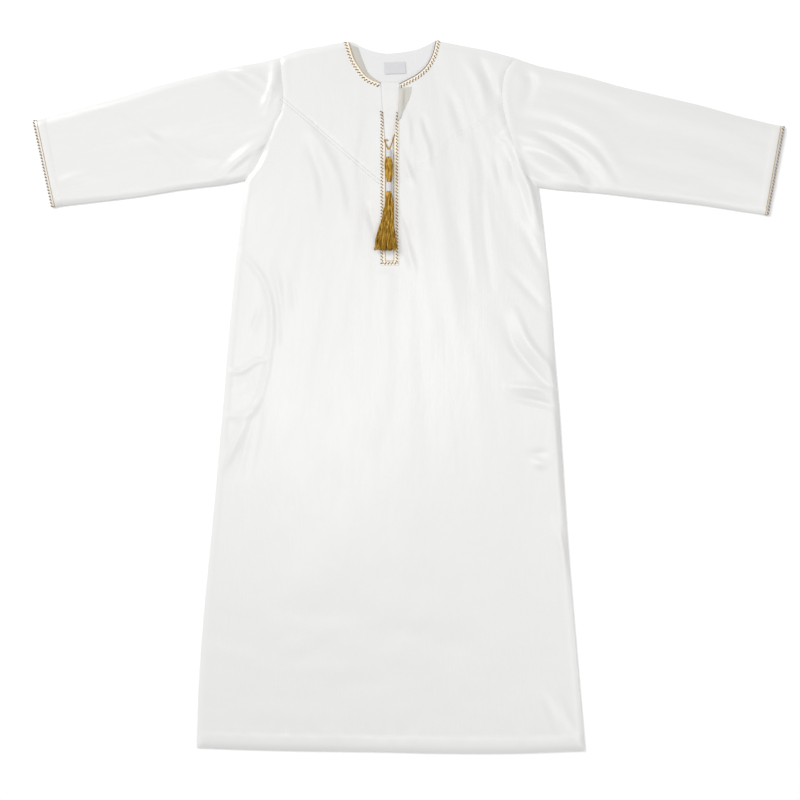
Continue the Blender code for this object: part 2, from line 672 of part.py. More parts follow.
def build_tassel():
    rest_height = FLAT_HEIGHT + GAP + TRIM_THICKNESS + GAP
    axis_height = rest_height + TASSEL_HALF_DEPTH
    build_loop(rest_height)
    build_round("tassel_upper_wrap", UPPER_WRAP, axis_height, WHITE_THREAD)
    build_round("tassel_ball", BALL, axis_height, GOLD_SILK)
    build_round("tassel_lower_wrap", LOWER_WRAP, axis_height, WHITE_THREAD)
    build_skirt(rest_height)


def build():
    clear_scene()
    build_back()
    build_front()
    build_sleeve("right", RIGHT_ARMHOLE, RIGHT_SLEEVE_TOP, RIGHT_SLEEVE_UNDER, -SEAM_SHIFT)
    build_sleeve("left", LEFT_ARMHOLE, LEFT_SLEEVE_TOP, LEFT_SLEEVE_UNDER, SEAM_SHIFT)
    build_neck_facing()
    flat_strip("underlap", UNDERLAP, WALL + GAP, STRIP_THICKNESS, SATIN)
    flat_strip("neck_label", LABEL, WALL + GAP, LABEL_THICKNESS, LABEL_CLOTH)
    build_tassel()


build()
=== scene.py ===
"""White satin gown laid flat: its cloth, gold embroidery, sewing and tassel, with finishes, light and camera.

Plan points are in millimetres from the middle of the gown, +Y to the neck and +X to the wearer's left.
"""
import math
from collections import namedtuple

import bmesh
import bpy
import numpy as np
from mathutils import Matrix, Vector, noise
from mathutils.geometry import delaunay_2d_cdt


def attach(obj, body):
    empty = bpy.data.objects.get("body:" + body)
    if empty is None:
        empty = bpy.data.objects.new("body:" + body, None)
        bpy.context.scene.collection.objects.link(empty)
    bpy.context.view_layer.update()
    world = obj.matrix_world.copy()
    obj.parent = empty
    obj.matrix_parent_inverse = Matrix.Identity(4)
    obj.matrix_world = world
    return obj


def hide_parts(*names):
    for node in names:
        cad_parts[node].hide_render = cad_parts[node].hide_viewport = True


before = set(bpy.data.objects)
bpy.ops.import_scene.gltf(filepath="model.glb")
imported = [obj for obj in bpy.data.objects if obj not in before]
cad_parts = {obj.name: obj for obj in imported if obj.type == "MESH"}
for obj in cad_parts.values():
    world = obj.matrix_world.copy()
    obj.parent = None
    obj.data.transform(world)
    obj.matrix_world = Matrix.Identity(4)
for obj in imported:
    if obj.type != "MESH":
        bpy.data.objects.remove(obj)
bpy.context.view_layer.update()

MM = 0.001
BODY = "root"

# Cloth, in millimetres: thickness, and heights of its faces above the surface that the gown lies on
CLOTH = 0.6
BACK_BOTTOM = 0.35
BACK_TOP = BACK_BOTTOM + CLOTH
EDGE_TOP = 1.7
FLAT_HEIGHT = 4.6
EDGE_ROLL = 10.0
FOLD_RADIUS = 0.8
CUFF_LIFT = 0.75
FRONT_SPACING = 3.6
BACK_SPACING = 6.0
OUTLINE_STEP = 3.0
FINE_STEP = 2.0
LINE_STEP = 3.0
COARSE_STEP = 6.0
EDGE_STEP = 8.0
SEAM_SHIFT = 0.1

# Outline of the gown in plan, as curves through these points, each from the neck outwards
RIGHT_SHOULDER = [(-84.0, 498.0), (-103, 495), (-124, 491), (-152, 486), (-180, 476)]
RIGHT_ARMHOLE = [(-180, 476), (-178.5, 451), (-176, 423), (-179.5, 399), (-187, 385), (-195, 364),
                 (-204, 346), (-213, 324), (-229, 304)]
RIGHT_SLEEVE_TOP = [(-180, 476), (-208, 469), (-232, 465), (-264, 458), (-348, 437), (-404, 420),
                    (-527.4, 386.4)]
RIGHT_SLEEVE_UNDER = [(-229, 304), (-246, 300), (-264, 297), (-320, 290), (-376, 281), (-432, 274),
                      (-500.8, 266)]
RIGHT_SIDE = [(-229, 304), (-232, 283), (-236, 241), (-242, 192), (-247, 136), (-253, 73), (-259, -4),
              (-264, -60), (-274, -172), (-285, -284), (-293.5, -396), (-297, -491.4)]
HEM = [(-297, -491.4), (-222, -494), (-152, -495.6), (-47, -497), (44, -498.9), (142, -499.1),
       (246.7, -495.6)]
LEFT_SIDE = [(181, 294), (185, 262), (191, 206), (198, 136), (203, 66), (209, -4), (213, -60),
             (220, -172), (228.5, -284), (238, -396), (246.7, -495.6)]
LEFT_SLEEVE_UNDER = [(181, 294), (212, 290), (268, 285.5), (338, 277), (408, 269), (464, 260.5),
                     (504.3, 254.8)]
LEFT_SLEEVE_TOP = [(149, 475), (184, 463.5), (240, 451), (296, 435.5), (338, 425.5), (408, 409),
                   (464, 393.5), (527.4, 378)]
LEFT_ARMHOLE = [(149, 475), (136, 458), (131, 436), (131, 413), (137, 383), (144, 362), (153, 337),
                (163, 312), (181, 294)]
LEFT_SHOULDER = [(37.5, 499.4), (58, 495.5), (86, 490), (114, 484.5), (149, 475)]
BACK_NECK = [(-84.0, 498.0), (-75, 496), (-68, 491.5), (-54, 486), (-40, 482.5), (-26, 481.5), (2, 485),
             (16, 488.5), (29, 494.5), (37.5, 499.4)]
RIGHT_NECK = [(-84.0, 498.0), (-77, 476), (-68, 460.5), (-57, 448), (-41, 440.5)]
LEFT_NECK = [(37.5, 499.4), (32.5, 480), (23.5, 463.5), (10, 451.5), (-4, 444), (-13, 439)]
SLIT_RIGHT_EDGE = [(-39.5, 437), (-37, 399), (-33.2, 357)]
SLIT_LEFT_EDGE = [(-13.3, 436), (-15.6, 399), (-21.1, 360.5)]
FACING_INNER_EDGE = [(-71, 490), (-67, 478), (-63, 468), (-57, 454.5), (-46, 445), (-40, 442)]
SLIT_TURN = [(-13.7, 431.8), (-4.0, 433.2), (4.2, 434.6), (3.4, 427), (0.8, 418), (-3.8, 409), (-8.6, 401.5),
             (-12.0, 391), (-15.4, 388), (-15.0, 405), (-14.3, 418)]
UNDERLAP = [(-43, 349), (-11, 349), (-9, 395), (-10, 428), (-14.5, 440.5), (-38.5, 441), (-44, 428),
            (-44, 395)]
LABEL = [(-34.4, 468.6), (-5, 470.1), (-3.9, 453.6), (-33.5, 452.5)]

# Placket, its gold box, and the sewing of the neck, yoke, hem, cuffs and label
PLACKET_TOP_Y = 392.0
PLACKET_BOTTOM_Y = 184.5
PLACKET_RIGHT_X = -38.8
PLACKET_LEFT_X = -14.0
BOX_RIGHT_X = -33.0
BOX_LEFT_X = -20.9
BOX_BOTTOM_Y = 190.4
PLACKET_ZIGZAG = [(-38.0, 399), (-37.4, 388), (-37.4, 187.2), (-16.5, 187.2), (-16.5, 380), (-15.4, 397)]
PLACKET_RISE = 0.7
NECK_BAND = (0.3, 6.8)
NECK_LINE_INSET = 0.9
NECK_ZIGZAG_INSET = 5.0
BACK_LINE_INSET = 2.4
RIGHT_YOKE = [(-180, 415), (-150, 390), (-100, 347), (-60, 312.5), (-43, 298)]
LEFT_YOKE = [(-13.6, 298), (3, 308), (21, 322), (41, 333), (65, 361), (94, 377), (133, 407)]
YOKE_ROWS = (1.3, 5.5)
HEM_DEPTH = 22.0
CUFF_HEM = 18.0
CUFF_LINE = 6.2
CUFF_ZIGZAG = 2.4
NECK_STITCH_INSET = 8.0
PLACKET_BORDER = [(-38.5, 391.5), (-38.5, 184.9), (-14.3, 184.9), (-14.3, 391.5)]
BORDER_GAP = 0.2
BORDER_TOP_RIGHT_Y = 357.0
BORDER_TOP_LEFT_Y = 361.0
BOX_CORD_TOP_RIGHT_Y = 357.5
BOX_CORD_TOP_LEFT_Y = 364.0
EDGING_END_Y = 366.0
INNER_SEAM = [(4.5, 482), (5.5, 462), (4.5, 446)]
LABEL_STITCH_SHARE = 0.94

# Small pieces of cloth and sewn threads: thickness, and lift above the cloth that they lie on
BAND = 0.34
BAND_LIFT = 0.06
BORDER = 0.18
BORDER_LIFT = 0.02
LINING = 0.35
PLACKET_GAP = 0.1
PLACKET_CORD_LIFT = 0.45
PLACKET_ZIGZAG_LIFT = 0.25
EDGING_LIFT = 0.1
NECK_CORD_LIFT = 0.6
NECK_ZIGZAG_LIFT = 0.5
CUFF_CORD_LIFT = 0.28
CUFF_ZIGZAG_LIFT = 0.12
LABEL_GAP = 0.45

# Underlap: its gap below the front, its bulge into the slit, and its drop towards the neck
UNDERLAP_GAP = 0.7
BULGE_INSET = 1.6
BULGE_RUN = 2.0
DROP = 1.4
DROP_START_Y = 426.0
DROP_RUN = 18.0

# Turned-out edge of the slit: gap and rise over the front, its fold and its width
TURN_GAP = 0.05
TURN_RISE = 1.1
TURN_FOLD_X = -14.5
TURN_WIDTH = 15.0

# Facing: counts of its points, where it starts and how long it is as shares of the neckline, its gap above
# the back and its arch
FACING_ROWS = 30
FACING_ACROSS = 6
FACING_START = 0.06
FACING_SHARE = 0.93
FACING_GAP = 0.5
FACING_ARCH = 0.4

# Relief of the sewing: heights, widths and places of its grooves, steps, rows and puckers
GROOVE_DEPTH = 0.85
GROOVE_WIDTH = 2.6
SWELL_HEIGHT = 0.34
SWELL_WIDTH = 3.5
SWELL_OFFSET = 7.0
SEAM_CALM_WIDTH = 18.0
STEP_WIDTH = 2.4
YOKE_RISE = 0.4
LEFT_YOKE_SHARE = 0.4
YOKE_ROW_WIDTH = 1.5
HEM_RISE = 0.35
HEM_ROW_DEPTH = 0.25
HEM_ROW_WIDTH = 1.6
HEM_TROUGH = 9.0
HEM_TROUGH_DEPTH = 0.2
HEM_TROUGH_WIDTH = 1.8
PUCKER_HEIGHT = 0.5
PUCKER_REACH = 9.0
PUCKER_ACROSS = 15.0
PUCKER_ALONG = 40.0
PUCKER_SEED = 71
CUFF_HEM_RISE = 0.3
CUFF_ROW_WIDTH = 1.5
CUFF_RAMP = 16.0
PLACKET_MARGIN = 1.5
PLACKET_CALM_REACH = 12.0
EDGE_BLEND = 0.05

# Creases of the front and sleeves. Height is below zero for a trough, and lean shifts the crest to the
# left-hand side of its path, so that side is the steeper
Crease = namedtuple("Crease", "half_width height lean path")
CREASES = [
    Crease(12, -1.9, 0.2, [(-271, 458), (-236, 437), (-205, 416)]),
    Crease(11, 3.0, 0.3, [(-258, 468), (-219, 449), (-194, 428)]),
    Crease(8, -1.1, 0.0, [(-236, 463), (-201, 438)]),
    Crease(10, 2.8, -0.2, [(-187, 463), (-190, 433), (-203, 403)]),
    Crease(10, -1.9, 0.0, [(-197, 353), (-211, 332), (-229, 308)]),
    Crease(12, 2.8, 0.25, [(-205, 361), (-235, 338), (-266, 312)]),
    Crease(26, 1.4, 0.2, [(-306, 388), (-376, 374), (-446, 360)]),
    Crease(15, 1.1, 0.3, [(-492, 292), (-468, 303), (-440, 306)]),
    Crease(15, -1.2, 0.2, [(-452, 392), (-400, 384), (-352, 352), (-318, 320)]),
    Crease(13, 1.2, 0.3, [(-330, 352), (-300, 334), (-262, 330)]),
    Crease(13, -1.9, 0.2, [(156, 463), (170, 441), (159, 410)]),
    Crease(10, -1.9, 0.0, [(145, 363), (198, 349), (233, 325), (257, 293)]),
    Crease(13, 2.8, 0.2, [(150, 378), (205, 367), (252, 340), (283, 300)]),
    Crease(24, 7.0, 0.55, [(142, 356), (176, 345), (206, 327), (234, 300)]),
    Crease(14, 1.1, -0.2, [(160, 408), (212, 396), (268, 362), (300, 318)]),
    Crease(16, -0.9, 0.0, [(176, 432), (230, 424), (300, 396)]),
    Crease(22, 1.0, 0.2, [(300, 402), (380, 385), (456, 364)]),
    Crease(16, -0.8, 0.0, [(290, 332), (352, 318), (428, 302)]),
    Crease(11, -1.8, 0.2, [(97, 475), (114, 437), (128, 402)]),
    Crease(10, 1.2, 0.0, [(80, 470), (98, 440), (108, 398)]),
    Crease(11, -1.5, 0.0, [(58, 427), (69, 395), (79, 364)]),
    Crease(7, -1.2, 0.0, [(21, 391), (27, 360)]),
    Crease(7, -1.1, 0.0, [(3, 374), (5, 339)]),
    Crease(9, 1.6, 0.3, [(-6, 396), (0, 362), (6, 336)]),
    Crease(8, 1.6, 0.3, [(14, 384), (24, 350), (27, 322)]),
    Crease(8, 2.2, 0.3, [(-16, 346), (-6, 324), (4, 300)]),
    Crease(7, -1.3, 0.0, [(-15, 268), (-6, 248), (3, 230)]),
    Crease(9, 2.3, 0.3, [(-17, 256), (-7, 220), (6, 176)]),
    Crease(8, -2.0, 0.2, [(-56, 268), (-52, 248), (-45, 224)]),
    Crease(8, 1.5, 0.5, [(-12.5, 437), (-12.8, 418), (-14.5, 392)]),
    Crease(9, -1.0, 0.2, [(100, 332), (105, 234), (115, 150)]),
    Crease(9, 0.8, 0.0, [(82, 325), (86, 234), (95, 157)]),
    Crease(7, -1.2, 0.0, [(121, 339), (129, 297)]),
    Crease(7, -1.2, 0.0, [(145, 339), (147, 304)]),
    Crease(10, -1.3, 0.3, [(156, 241), (174, 205), (191, 171)]),
    Crease(9, -1.1, 0.0, [(142, 178), (170, 147), (191, 122)]),
    Crease(10, 3.6, 0.3, [(138, 372), (152, 330), (166, 290), (180, 236)]),
    Crease(7, 1.2, 0.5, [(-257, -30), (-230, -25.6), (-213.5, -13), (-202, 4)]),
    Crease(10, -1.9, 0.2, [(132, 108), (149, 66), (191, 17), (206, -1)]),
    Crease(11, 2.4, 0.3, [(147, 118), (166, 74), (203, 30)]),
    Crease(9, -1.8, 0.0, [(146, -1), (177, -6), (208, -15)]),
    Crease(9, 1.8, 0.2, [(139, 14), (173, 12), (206, 5)]),
    Crease(8, 1.3, 0.3, [(202, -172), (214, -214), (223, -251)]),
    Crease(6.5, 1.7, -0.35, [(-234, 204), (-212, 178), (-200, 158), (-191.5, 125), (-190.5, 86), (-195, 56),
                             (-198.5, 31), (-208, -1), (-218, -24), (-238, -34)]),
    Crease(8, -0.8, 0.0, [(-184, 150), (-183, 112), (-184, 78)]),
    Crease(7, 1.3, -0.3, [(-188, 190), (-181, 150), (-177, 110), (-175, 76)]),
    Crease(6, 0.8, -0.3, [(-166, 176), (-161, 150), (-158, 122)]),
    Crease(6, -1.0, 0.0, [(-207, 127), (-219, 91)]),
    Crease(5.5, 1.4, 0.4, [(-257, 34), (-240, 34), (-226.6, 39.3), (-211, 50), (-196, 50)]),
    Crease(16, -0.8, 0.0, [(-252, 8), (-234, 14), (-212, 28)]),
    Crease(10, 1.8, 0.2, [(-226, -27), (-242, -60), (-259, -98)]),
    Crease(8, -0.9, 0.0, [(-217, -16), (-225, -55), (-233, -90), (-238, -112)]),
    Crease(9, -0.7, 0.0, [(-206, -15), (-214, -64), (-224, -112)]),
    Crease(40, 1.4, 0.2, [(-112, 304), (-94, 241), (-90, 171)]),
    Crease(16, 1.2, 0.3, [(-152, 388), (-110, 318), (-92, 240)]),
    Crease(12, -1.1, 0.0, [(-140, 360), (-121, 300), (-118, 250)]),
    Crease(14, 0.9, 0.2, [(-70, 400), (-82, 340), (-78, 280)]),
    Crease(9, 1.4, 0.3, [(176, -90), (184, -96), (194, -92)]),
    Crease(10, -1.2, 0.0, [(168, -82), (180, -80), (192, -78)]),
    Crease(9, -0.9, 0.2, [(212, -424), (222, -452), (232, -470)]),
    Crease(10, 0.9, 0.0, [(188, -416), (202, -446), (206, -468)]),
]
CREASE_END_SHARE = 0.08

# Soft waves of the cloth: across and along are the lengths of a wave and height its depth. They are
# strongest at a middle, in plan, and fade with the distance from it
Wave = namedtuple("Wave", "across along height seed middle reach")
BODY_WAVES = [
    Wave(150, 330, 2.4, 3, (0, 0), (900, 900)),
    Wave(52, 210, 1.1, 7, (-20, 170), (420, 330)),
    Wave(23, 105, 0.80, 11, (-20, 150), (300, 260)),
    Wave(13, 62, 0.34, 17, (-130, -110), (170, 130)),
    Wave(11, 50, 0.22, 29, (20, 300), (200, 140)),
    Wave(46, 60, 0.9, 19, (-40, -370), (280, 110)),
    Wave(19, 24, 0.24, 23, (-60, -380), (280, 110)),
]
SLEEVE_WAVES = [
    Wave(90, 210, 1.6, 31, (0, 350), (2000, 2000)),
    Wave(36, 90, 0.7, 41, (0, 350), (2000, 2000)),
    Wave(14, 34, 0.16, 53, (0, 350), (2000, 2000)),
]
BACK_WAVES = [Wave(60, 220, 0.5, 61, (0, 0), (2000, 2000)), Wave(24, 90, 0.2, 67, (0, 0), (2000, 2000))]
FAN_CENTRE = (-20.0, 760.0)
FAN_RADIUS = 620.0
BACK_WAVE_LIMITS = (-0.05, 0.4)
SLEEVE_WAVE_SHIFT = 900.0

# Where a sleeve's points lie: shares of the way across it, close together at its two folds, and distances
# from the cuff's edge, close together at its hem
FOLD_SHARES = np.array([0, 0.0012, 0.004, 0.009, 0.018, 0.034, 0.06])
MIDDLE_SHARES = np.linspace(0.09, 0.91, 38)
SLEEVE_STATIONS = 104
CUFF_ZONE = 24.0
CUFF_STATIONS = np.array([21, 19.4, 18, 16.6, 14, 9, 5, 1.5, 0])
HOLLOW_GAP = 0.05

# Embroidery and sewing
ZIGZAG_REPEAT = 4.6
ZIGZAG_WIDTH = 3.8
ZIGZAG_THREADS = (-0.25, 0.25)
FINE_THREAD = 0.28
CORD_RADIUS = 0.28
CORD_TWIST = 2.2
STITCH_PITCH = 3.0
STITCH_LENGTH = 2.3
STITCH_RADIUS = 0.2
SHADED_RADIUS = 0.44
BRIGHT_RADIUS = 0.25
BACK_ZIGZAG_THICKNESS = 0.5
ARCH_DIP = 1.2
ARCH_CREST = 2.2

# Threads whose sizes differ from the usual ones of their recipe
SLIT_CORD_SIZES = {"Radius": 0.16, "Twist": 1.6}
BACK_CORD_SIZES = {"Radius": 0.16, "Twist": 1.4}
BACK_STITCH_SIZES = {"Pitch": 2.6, "Radius": 0.12}
CUFF_STITCH_SIZES = {"Length": 1.4, "Pitch": 2.2}
TASSEL_CORD_SIZES = {"Radius": 0.5, "Twist": 3.6}
KNOT_SIZES = {"Radius": 0.6}
TACK_SIZES = {"Radius": 0.33}
WINDING_SIZES = {"Radius": 0.34}
BALL_PLY_SIZES = {"Radius": 0.72}
BALL_THREAD_SIZES = {"Radius": 0.2}

# Tassel, down its length: y, half width and half depth of each round section
Section = namedtuple("Section", "y half_width half_depth")
TASSEL_X = -27.8
AXIS_HEIGHT = 10.4
TASSEL_REST = 6.2
UPPER_WRAP = [Section(345.0, 2.9, 2.5), Section(340, 3.1, 2.7), Section(335.5, 2.9, 2.5)]
BALL = [Section(335.2, 2.2, 1.8), Section(333.4, 3.9, 3.0), Section(330, 5.3, 3.9), Section(325, 5.8, 4.3),
        Section(316, 5.6, 4.2), Section(308, 4.6, 3.6), Section(300.2, 3.1, 2.6)]
LOWER_WRAP = [Section(299.9, 3.4, 2.7), Section(294, 3.6, 2.9), Section(287.6, 3.5, 2.8)]
LOOP_PATH = [(-34.2, 359.8, 5.9), (-31.8, 353.0, 6.9), (-29.0, 347.6, 9.2), (-26.6, 347.6, 9.2),
             (-23.9, 354.6, 7.2), (-21.6, 362, 6.1), (-19.6, 367.5, 5.7)]
Level = namedtuple("Level", "y right_x left_x half_depth lift")
SKIRT = [Level(287.5, -31.2, -24.8, 2.7, 4.2), Level(284.9, -32.3, -23.4, 3.3, 4.2),
         Level(280, -32.8, -22.6, 3.6, 4.2), Level(267.4, -34.1, -20.9, 3.9, 4.2),
         Level(245, -39.1, -20.1, 4.1, 4.3), Level(229.6, -44.6, -18.2, 4.2, 4.4),
         Level(205.4, -48.9, -13.6, 4.2, 4.4)]
SKIRT_LOCKS = 42
LOCK_STRANDS = 15
SKIRT_STRAND_RADIUS = 0.25
SKIRT_CORE = [Section(287.6, 2.6, 2.2), Section(284, 3.9, 2.9), Section(276, 3.4, 2.4),
              Section(268, 1.2, 0.9)]
SKIRT_OVERRUN = 84.0
EVEN_TURN = 2.39996
LOCK_WAVES = (3.0, 5.5)
LOCK_SWING = (0.35, 0.95)
LOCK_END = (-0.025, 0.008)
LOCK_DIP = 0.4
STRAND_END = (-0.03, 0.012)
STRAND_SWAY = (0.05, 0.3)
STRAND_SPREAD = 0.30
STRAND_SPREAD_GAIN = 0.34
BALL_TWIST = 0.5
BALL_DRIFT = 1.4
BALL_GROOVE_DEPTH = 0.24
BALL_GROOVE_WIDTH = 0.26
BALL_GROOVE_SWAY = 0.35
BALL_GROOVE_WAVE = 4.5
KNOT_TURNS = 2.6
KNOT_MIDDLE = (TASSEL_X + 0.1, 347.8, 9.3)
KNOT_HALF_WIDTH = 1.7
KNOT_HALF_DEPTH = 1.4
KNOT_LENGTH = 1.9
TACK_ROWS = (359.0, 359.7, 360.4)
TACK_ENDS = (-34.6, -29.2)
TACK_HEIGHT = 5.75
WINDING_PITCH = 0.62
WINDING_MARGIN = 0.3
ROUND_SIDES = 20
ROUND_STATIONS = 14
SEED = 5

# Studio, in metres: each light has its place, width and power. The photograph's frame is 1.12 m across at
# the cloth, and its middle is a little to the wearer's right of the gown's
LIGHTS = {
    "key light": ((-3.7, 3.0, 3.4), 2.0, 198),
    "fill light": ((1.4, -0.4, 2.8), 1.6, 17),
    "overhead light": ((-0.22, 0.10, 3.1), 0.8, 10),
}
STUDIO_GLOW = 0.54
FLOOR_HALF = 12.0
FLOOR_HEIGHT = -0.0003
FRAME_WIDTH = 1.12
FRAME_MIDDLE = (-0.01225, -0.0042)
LENS = 85.0
SENSOR = 36.0


def smooth_path(points, step):
    """Points about a step apart on the Catmull-Rom curve through the given ones, with both ends."""
    knots = np.array(points, float)
    knots = np.vstack([2 * knots[0] - knots[1], knots, 2 * knots[-1] - knots[-2]])
    t = np.linspace(0, 1, 16, endpoint=False)[:, None]
    parts = []
    for a, b, c, d in zip(knots, knots[1:], knots[2:], knots[3:]):
        bend = 2 * a - 5 * b + 4 * c - d
        twist = 3 * b - a - 3 * c + d
        parts.append(0.5 * (2 * b + (c - a) * t + bend * t ** 2 + twist * t ** 3))
    return resample(np.vstack(parts + [knots[-2:-1]]), step)


def resample(line, step=None, shares=None):
    """Points along a line of straight runs, a step apart or at shares of its length."""
    line = np.asarray(line, float)
    run = np.concatenate([[0], np.cumsum(np.linalg.norm(np.diff(line, axis=0), axis=1))])
    if shares is None:
        shares = np.linspace(0, 1, max(1, round(run[-1] / step)) + 1)
    places = np.asarray(shares) * run[-1]
    return np.column_stack([np.interp(places, run, line[:, k]) for k in range(line.shape[1])])


def straight_path(points, step):
    """Points a step apart on straight runs, with each corner kept."""
    runs = [resample([a, b], step)[:-1] for a, b in zip(points, points[1:])]
    return np.vstack(runs + [np.array(points[-1:], float)])


def joined(*lines):
    """One closed loop from lines that follow each other, with no point twice."""
    loop = np.vstack(lines)
    gaps = np.linalg.norm(loop - np.roll(loop, 1, axis=0), axis=1)
    return loop[gaps > 0.05]


def beside(line, distance):
    """The line moved to its right-hand side by a distance."""
    run = np.gradient(line, axis=0)
    run /= np.linalg.norm(run, axis=1)[:, None]
    return line + np.column_stack([run[:, 1], -run[:, 0]]) * distance


def path_distance(points, path):
    """For each point: distance to the path, share of the path passed, and side, 1 on its left."""
    best = np.full(len(points), 1e9)
    share = np.zeros(len(points))
    side = np.ones(len(points))
    count = len(path) - 1
    for i in range(count):
        run = path[i + 1] - path[i]
        off = points - path[i]
        t = np.clip(off @ run / (run @ run), 0, 1)
        off = off - t[:, None] * run
        distance = np.hypot(off[:, 0], off[:, 1])
        closer = distance < best
        best[closer] = distance[closer]
        share[closer] = (i + t[closer]) / count
        side[closer] = np.where(run[0] * off[closer, 1] - run[1] * off[closer, 0] >= 0, 1, -1)
    return best, share, side


def inside(points, loop):
    """Whether each point is inside a closed loop."""
    result = np.zeros(len(points), bool)
    for a, b in zip(loop, np.roll(loop, -1, axis=0)):
        if a[1] != b[1]:
            crosses = (a[1] > points[:, 1]) != (b[1] > points[:, 1])
            reach = a[0] + (b[0] - a[0]) * (points[:, 1] - a[1]) / (b[1] - a[1])
            result ^= crosses & (points[:, 0] < reach)
    return result


def loop_area(loop):
    """Area in square metres inside a closed loop of millimetres."""
    ahead = np.roll(loop, -1, axis=0)
    return abs(np.sum(loop[:, 0] * ahead[:, 1] - ahead[:, 0] * loop[:, 1])) / 2 * MM * MM


def soft_step(value):
    """0 below -0.5, 1 above 0.5, and smooth between."""
    t = np.clip(value + 0.5, 0, 1)
    return t * t * (3 - 2 * t)


def ridge(distance, width):
    """A smooth ridge: 1 on its line, and nearly gone at twice its width from it."""
    return np.exp(-(distance / width) ** 2)


def outline(step, *parts):
    """Curves through parts of the outline, each by its own points, with points a step apart."""
    return [smooth_path(points, step) for points in parts]


OUTER_EDGE = joined(*outline(EDGE_STEP, RIGHT_SHOULDER, RIGHT_SLEEVE_TOP, RIGHT_SLEEVE_UNDER[::-1],
                             RIGHT_SIDE, HEM, LEFT_SIDE[::-1], LEFT_SLEEVE_UNDER, LEFT_SLEEVE_TOP[::-1],
                             LEFT_SHOULDER[::-1]))
OUTER_EDGE_LOOP = np.vstack([OUTER_EDGE, OUTER_EDGE[:1]])
ARMHOLES = outline(COARSE_STEP, RIGHT_ARMHOLE, LEFT_ARMHOLE)
YOKES = outline(COARSE_STEP, RIGHT_YOKE, LEFT_YOKE)
HEM_EDGE = smooth_path(HEM, 20)


def crease_height(points):
    """Sum of the creases at each plan point. Each dies away at its two ends."""
    total = np.zeros(len(points))
    for crease in CREASES:
        path = smooth_path(crease.path, COARSE_STEP)
        reach = crease.half_width
        near = np.all((points > path.min(axis=0) - reach) & (points < path.max(axis=0) + reach), axis=1)
        where = np.flatnonzero(near)
        if len(where) == 0:
            continue
        distance, share, side = path_distance(points[where], path)
        across = side * distance / reach - crease.lean
        across = np.where(across > 0, across / (1 - crease.lean), across / (1 + crease.lean))
        shape = 0.5 + 0.5 * np.cos(np.pi * np.clip(across, -1, 1))
        along = CREASE_END_SHARE + (1 - 2 * CREASE_END_SHARE) * share
        total[where] += crease.height * shape * np.sin(np.pi * along)
    return total


def wave_height(points, places, waves):
    """Soft uneven waves. Places are the points as the waves run, in millimetres across and along them."""
    total = np.zeros(len(points))
    for wave in waves:
        scaled = places / [wave.across, wave.along]
        swell = np.array([noise.noise((u, v, wave.seed)) for u, v in scaled])
        off = (points - wave.middle) / wave.reach
        total += wave.height * swell * np.exp(-np.sum(off ** 2, axis=1))
    return total


def fan_places(points):
    """Points of the front as places across and along the soft waves that fan out from the neck."""
    off = points - FAN_CENTRE
    radius = np.hypot(off[:, 0], off[:, 1])
    return np.column_stack([np.arctan2(off[:, 0], -off[:, 1]) * FAN_RADIUS, radius])


def armhole_distance(points):
    """Distance to the nearer armhole seam."""
    return np.minimum(*[path_distance(points, armhole)[0] for armhole in ARMHOLES])


def seam_groove(distance):
    """The cloth rolls down into the armhole seams, with a slight swell beside them."""
    swell = SWELL_HEIGHT * ridge(distance - SWELL_OFFSET, SWELL_WIDTH)
    return swell - GROOVE_DEPTH * ridge(distance, GROOVE_WIDTH)


def seam_calm(distance):
    """How much of its waves the cloth keeps near the armhole seams, where two pieces meet."""
    return 1 - ridge(distance, SEAM_CALM_WIDTH)


def sewn_steps(points):
    """The lined yoke and the turned-up hem stand a little above the rest, with a slight pucker."""
    right, _, right_side = path_distance(points, YOKES[0])
    left, _, left_side = path_distance(points, YOKES[1])
    on_right = points[:, 0] < TASSEL_X
    gap = np.where(on_right, right * right_side, left * left_side)
    rows = sum(ridge(gap - row, YOKE_ROW_WIDTH) for row in YOKE_ROWS)
    yoke = YOKE_RISE * soft_step(gap / STEP_WIDTH) - YOKE_RISE * rows
    yoke *= np.where(on_right, 1.0, LEFT_YOKE_SHARE)
    rise = path_distance(points, HEM_EDGE)[0]
    pucker = np.array([noise.noise((x / PUCKER_ACROSS, y / PUCKER_ALONG, PUCKER_SEED)) for x, y in points])
    hem = HEM_RISE * soft_step((HEM_DEPTH + 1 - rise) / STEP_WIDTH)
    hem += PUCKER_HEIGHT * pucker * ridge(rise - HEM_DEPTH, PUCKER_REACH)
    row = HEM_ROW_DEPTH * ridge(rise - HEM_DEPTH, HEM_ROW_WIDTH)
    hem -= row + HEM_TROUGH_DEPTH * ridge(rise - HEM_TROUGH, HEM_TROUGH_WIDTH)
    return yoke + hem


def placket_calm(points):
    """How much of its creases the cloth keeps: none under the placket."""
    x = np.maximum(PLACKET_RIGHT_X - points[:, 0], points[:, 0] - PLACKET_LEFT_X)
    y = np.maximum(PLACKET_BOTTOM_Y - points[:, 1], points[:, 1] - PLACKET_TOP_Y)
    return np.clip((np.maximum(x, y) - PLACKET_MARGIN) / PLACKET_CALM_REACH, 0, 1)


def cloth_top(points, relief):
    """Height of the outer face of the upper layer of cloth, from its relief."""
    distance = path_distance(points, OUTER_EDGE_LOOP)[0]
    rise = np.sin(0.5 * np.pi * np.clip(distance / EDGE_ROLL, 0, 1))
    above = rise * (FLAT_HEIGHT - EDGE_TOP + relief)
    return EDGE_TOP + 0.5 * (above + np.sqrt(above ** 2 + EDGE_BLEND))


def front_top(points):
    """Height of the front's outer face, with its creases, waves and sewing."""
    seam = armhole_distance(points)
    waves = wave_height(points, fan_places(points), BODY_WAVES) * seam_calm(seam)
    relief = placket_calm(points) * (crease_height(points) + waves + sewn_steps(points))
    return cloth_top(points, relief + seam_groove(seam))


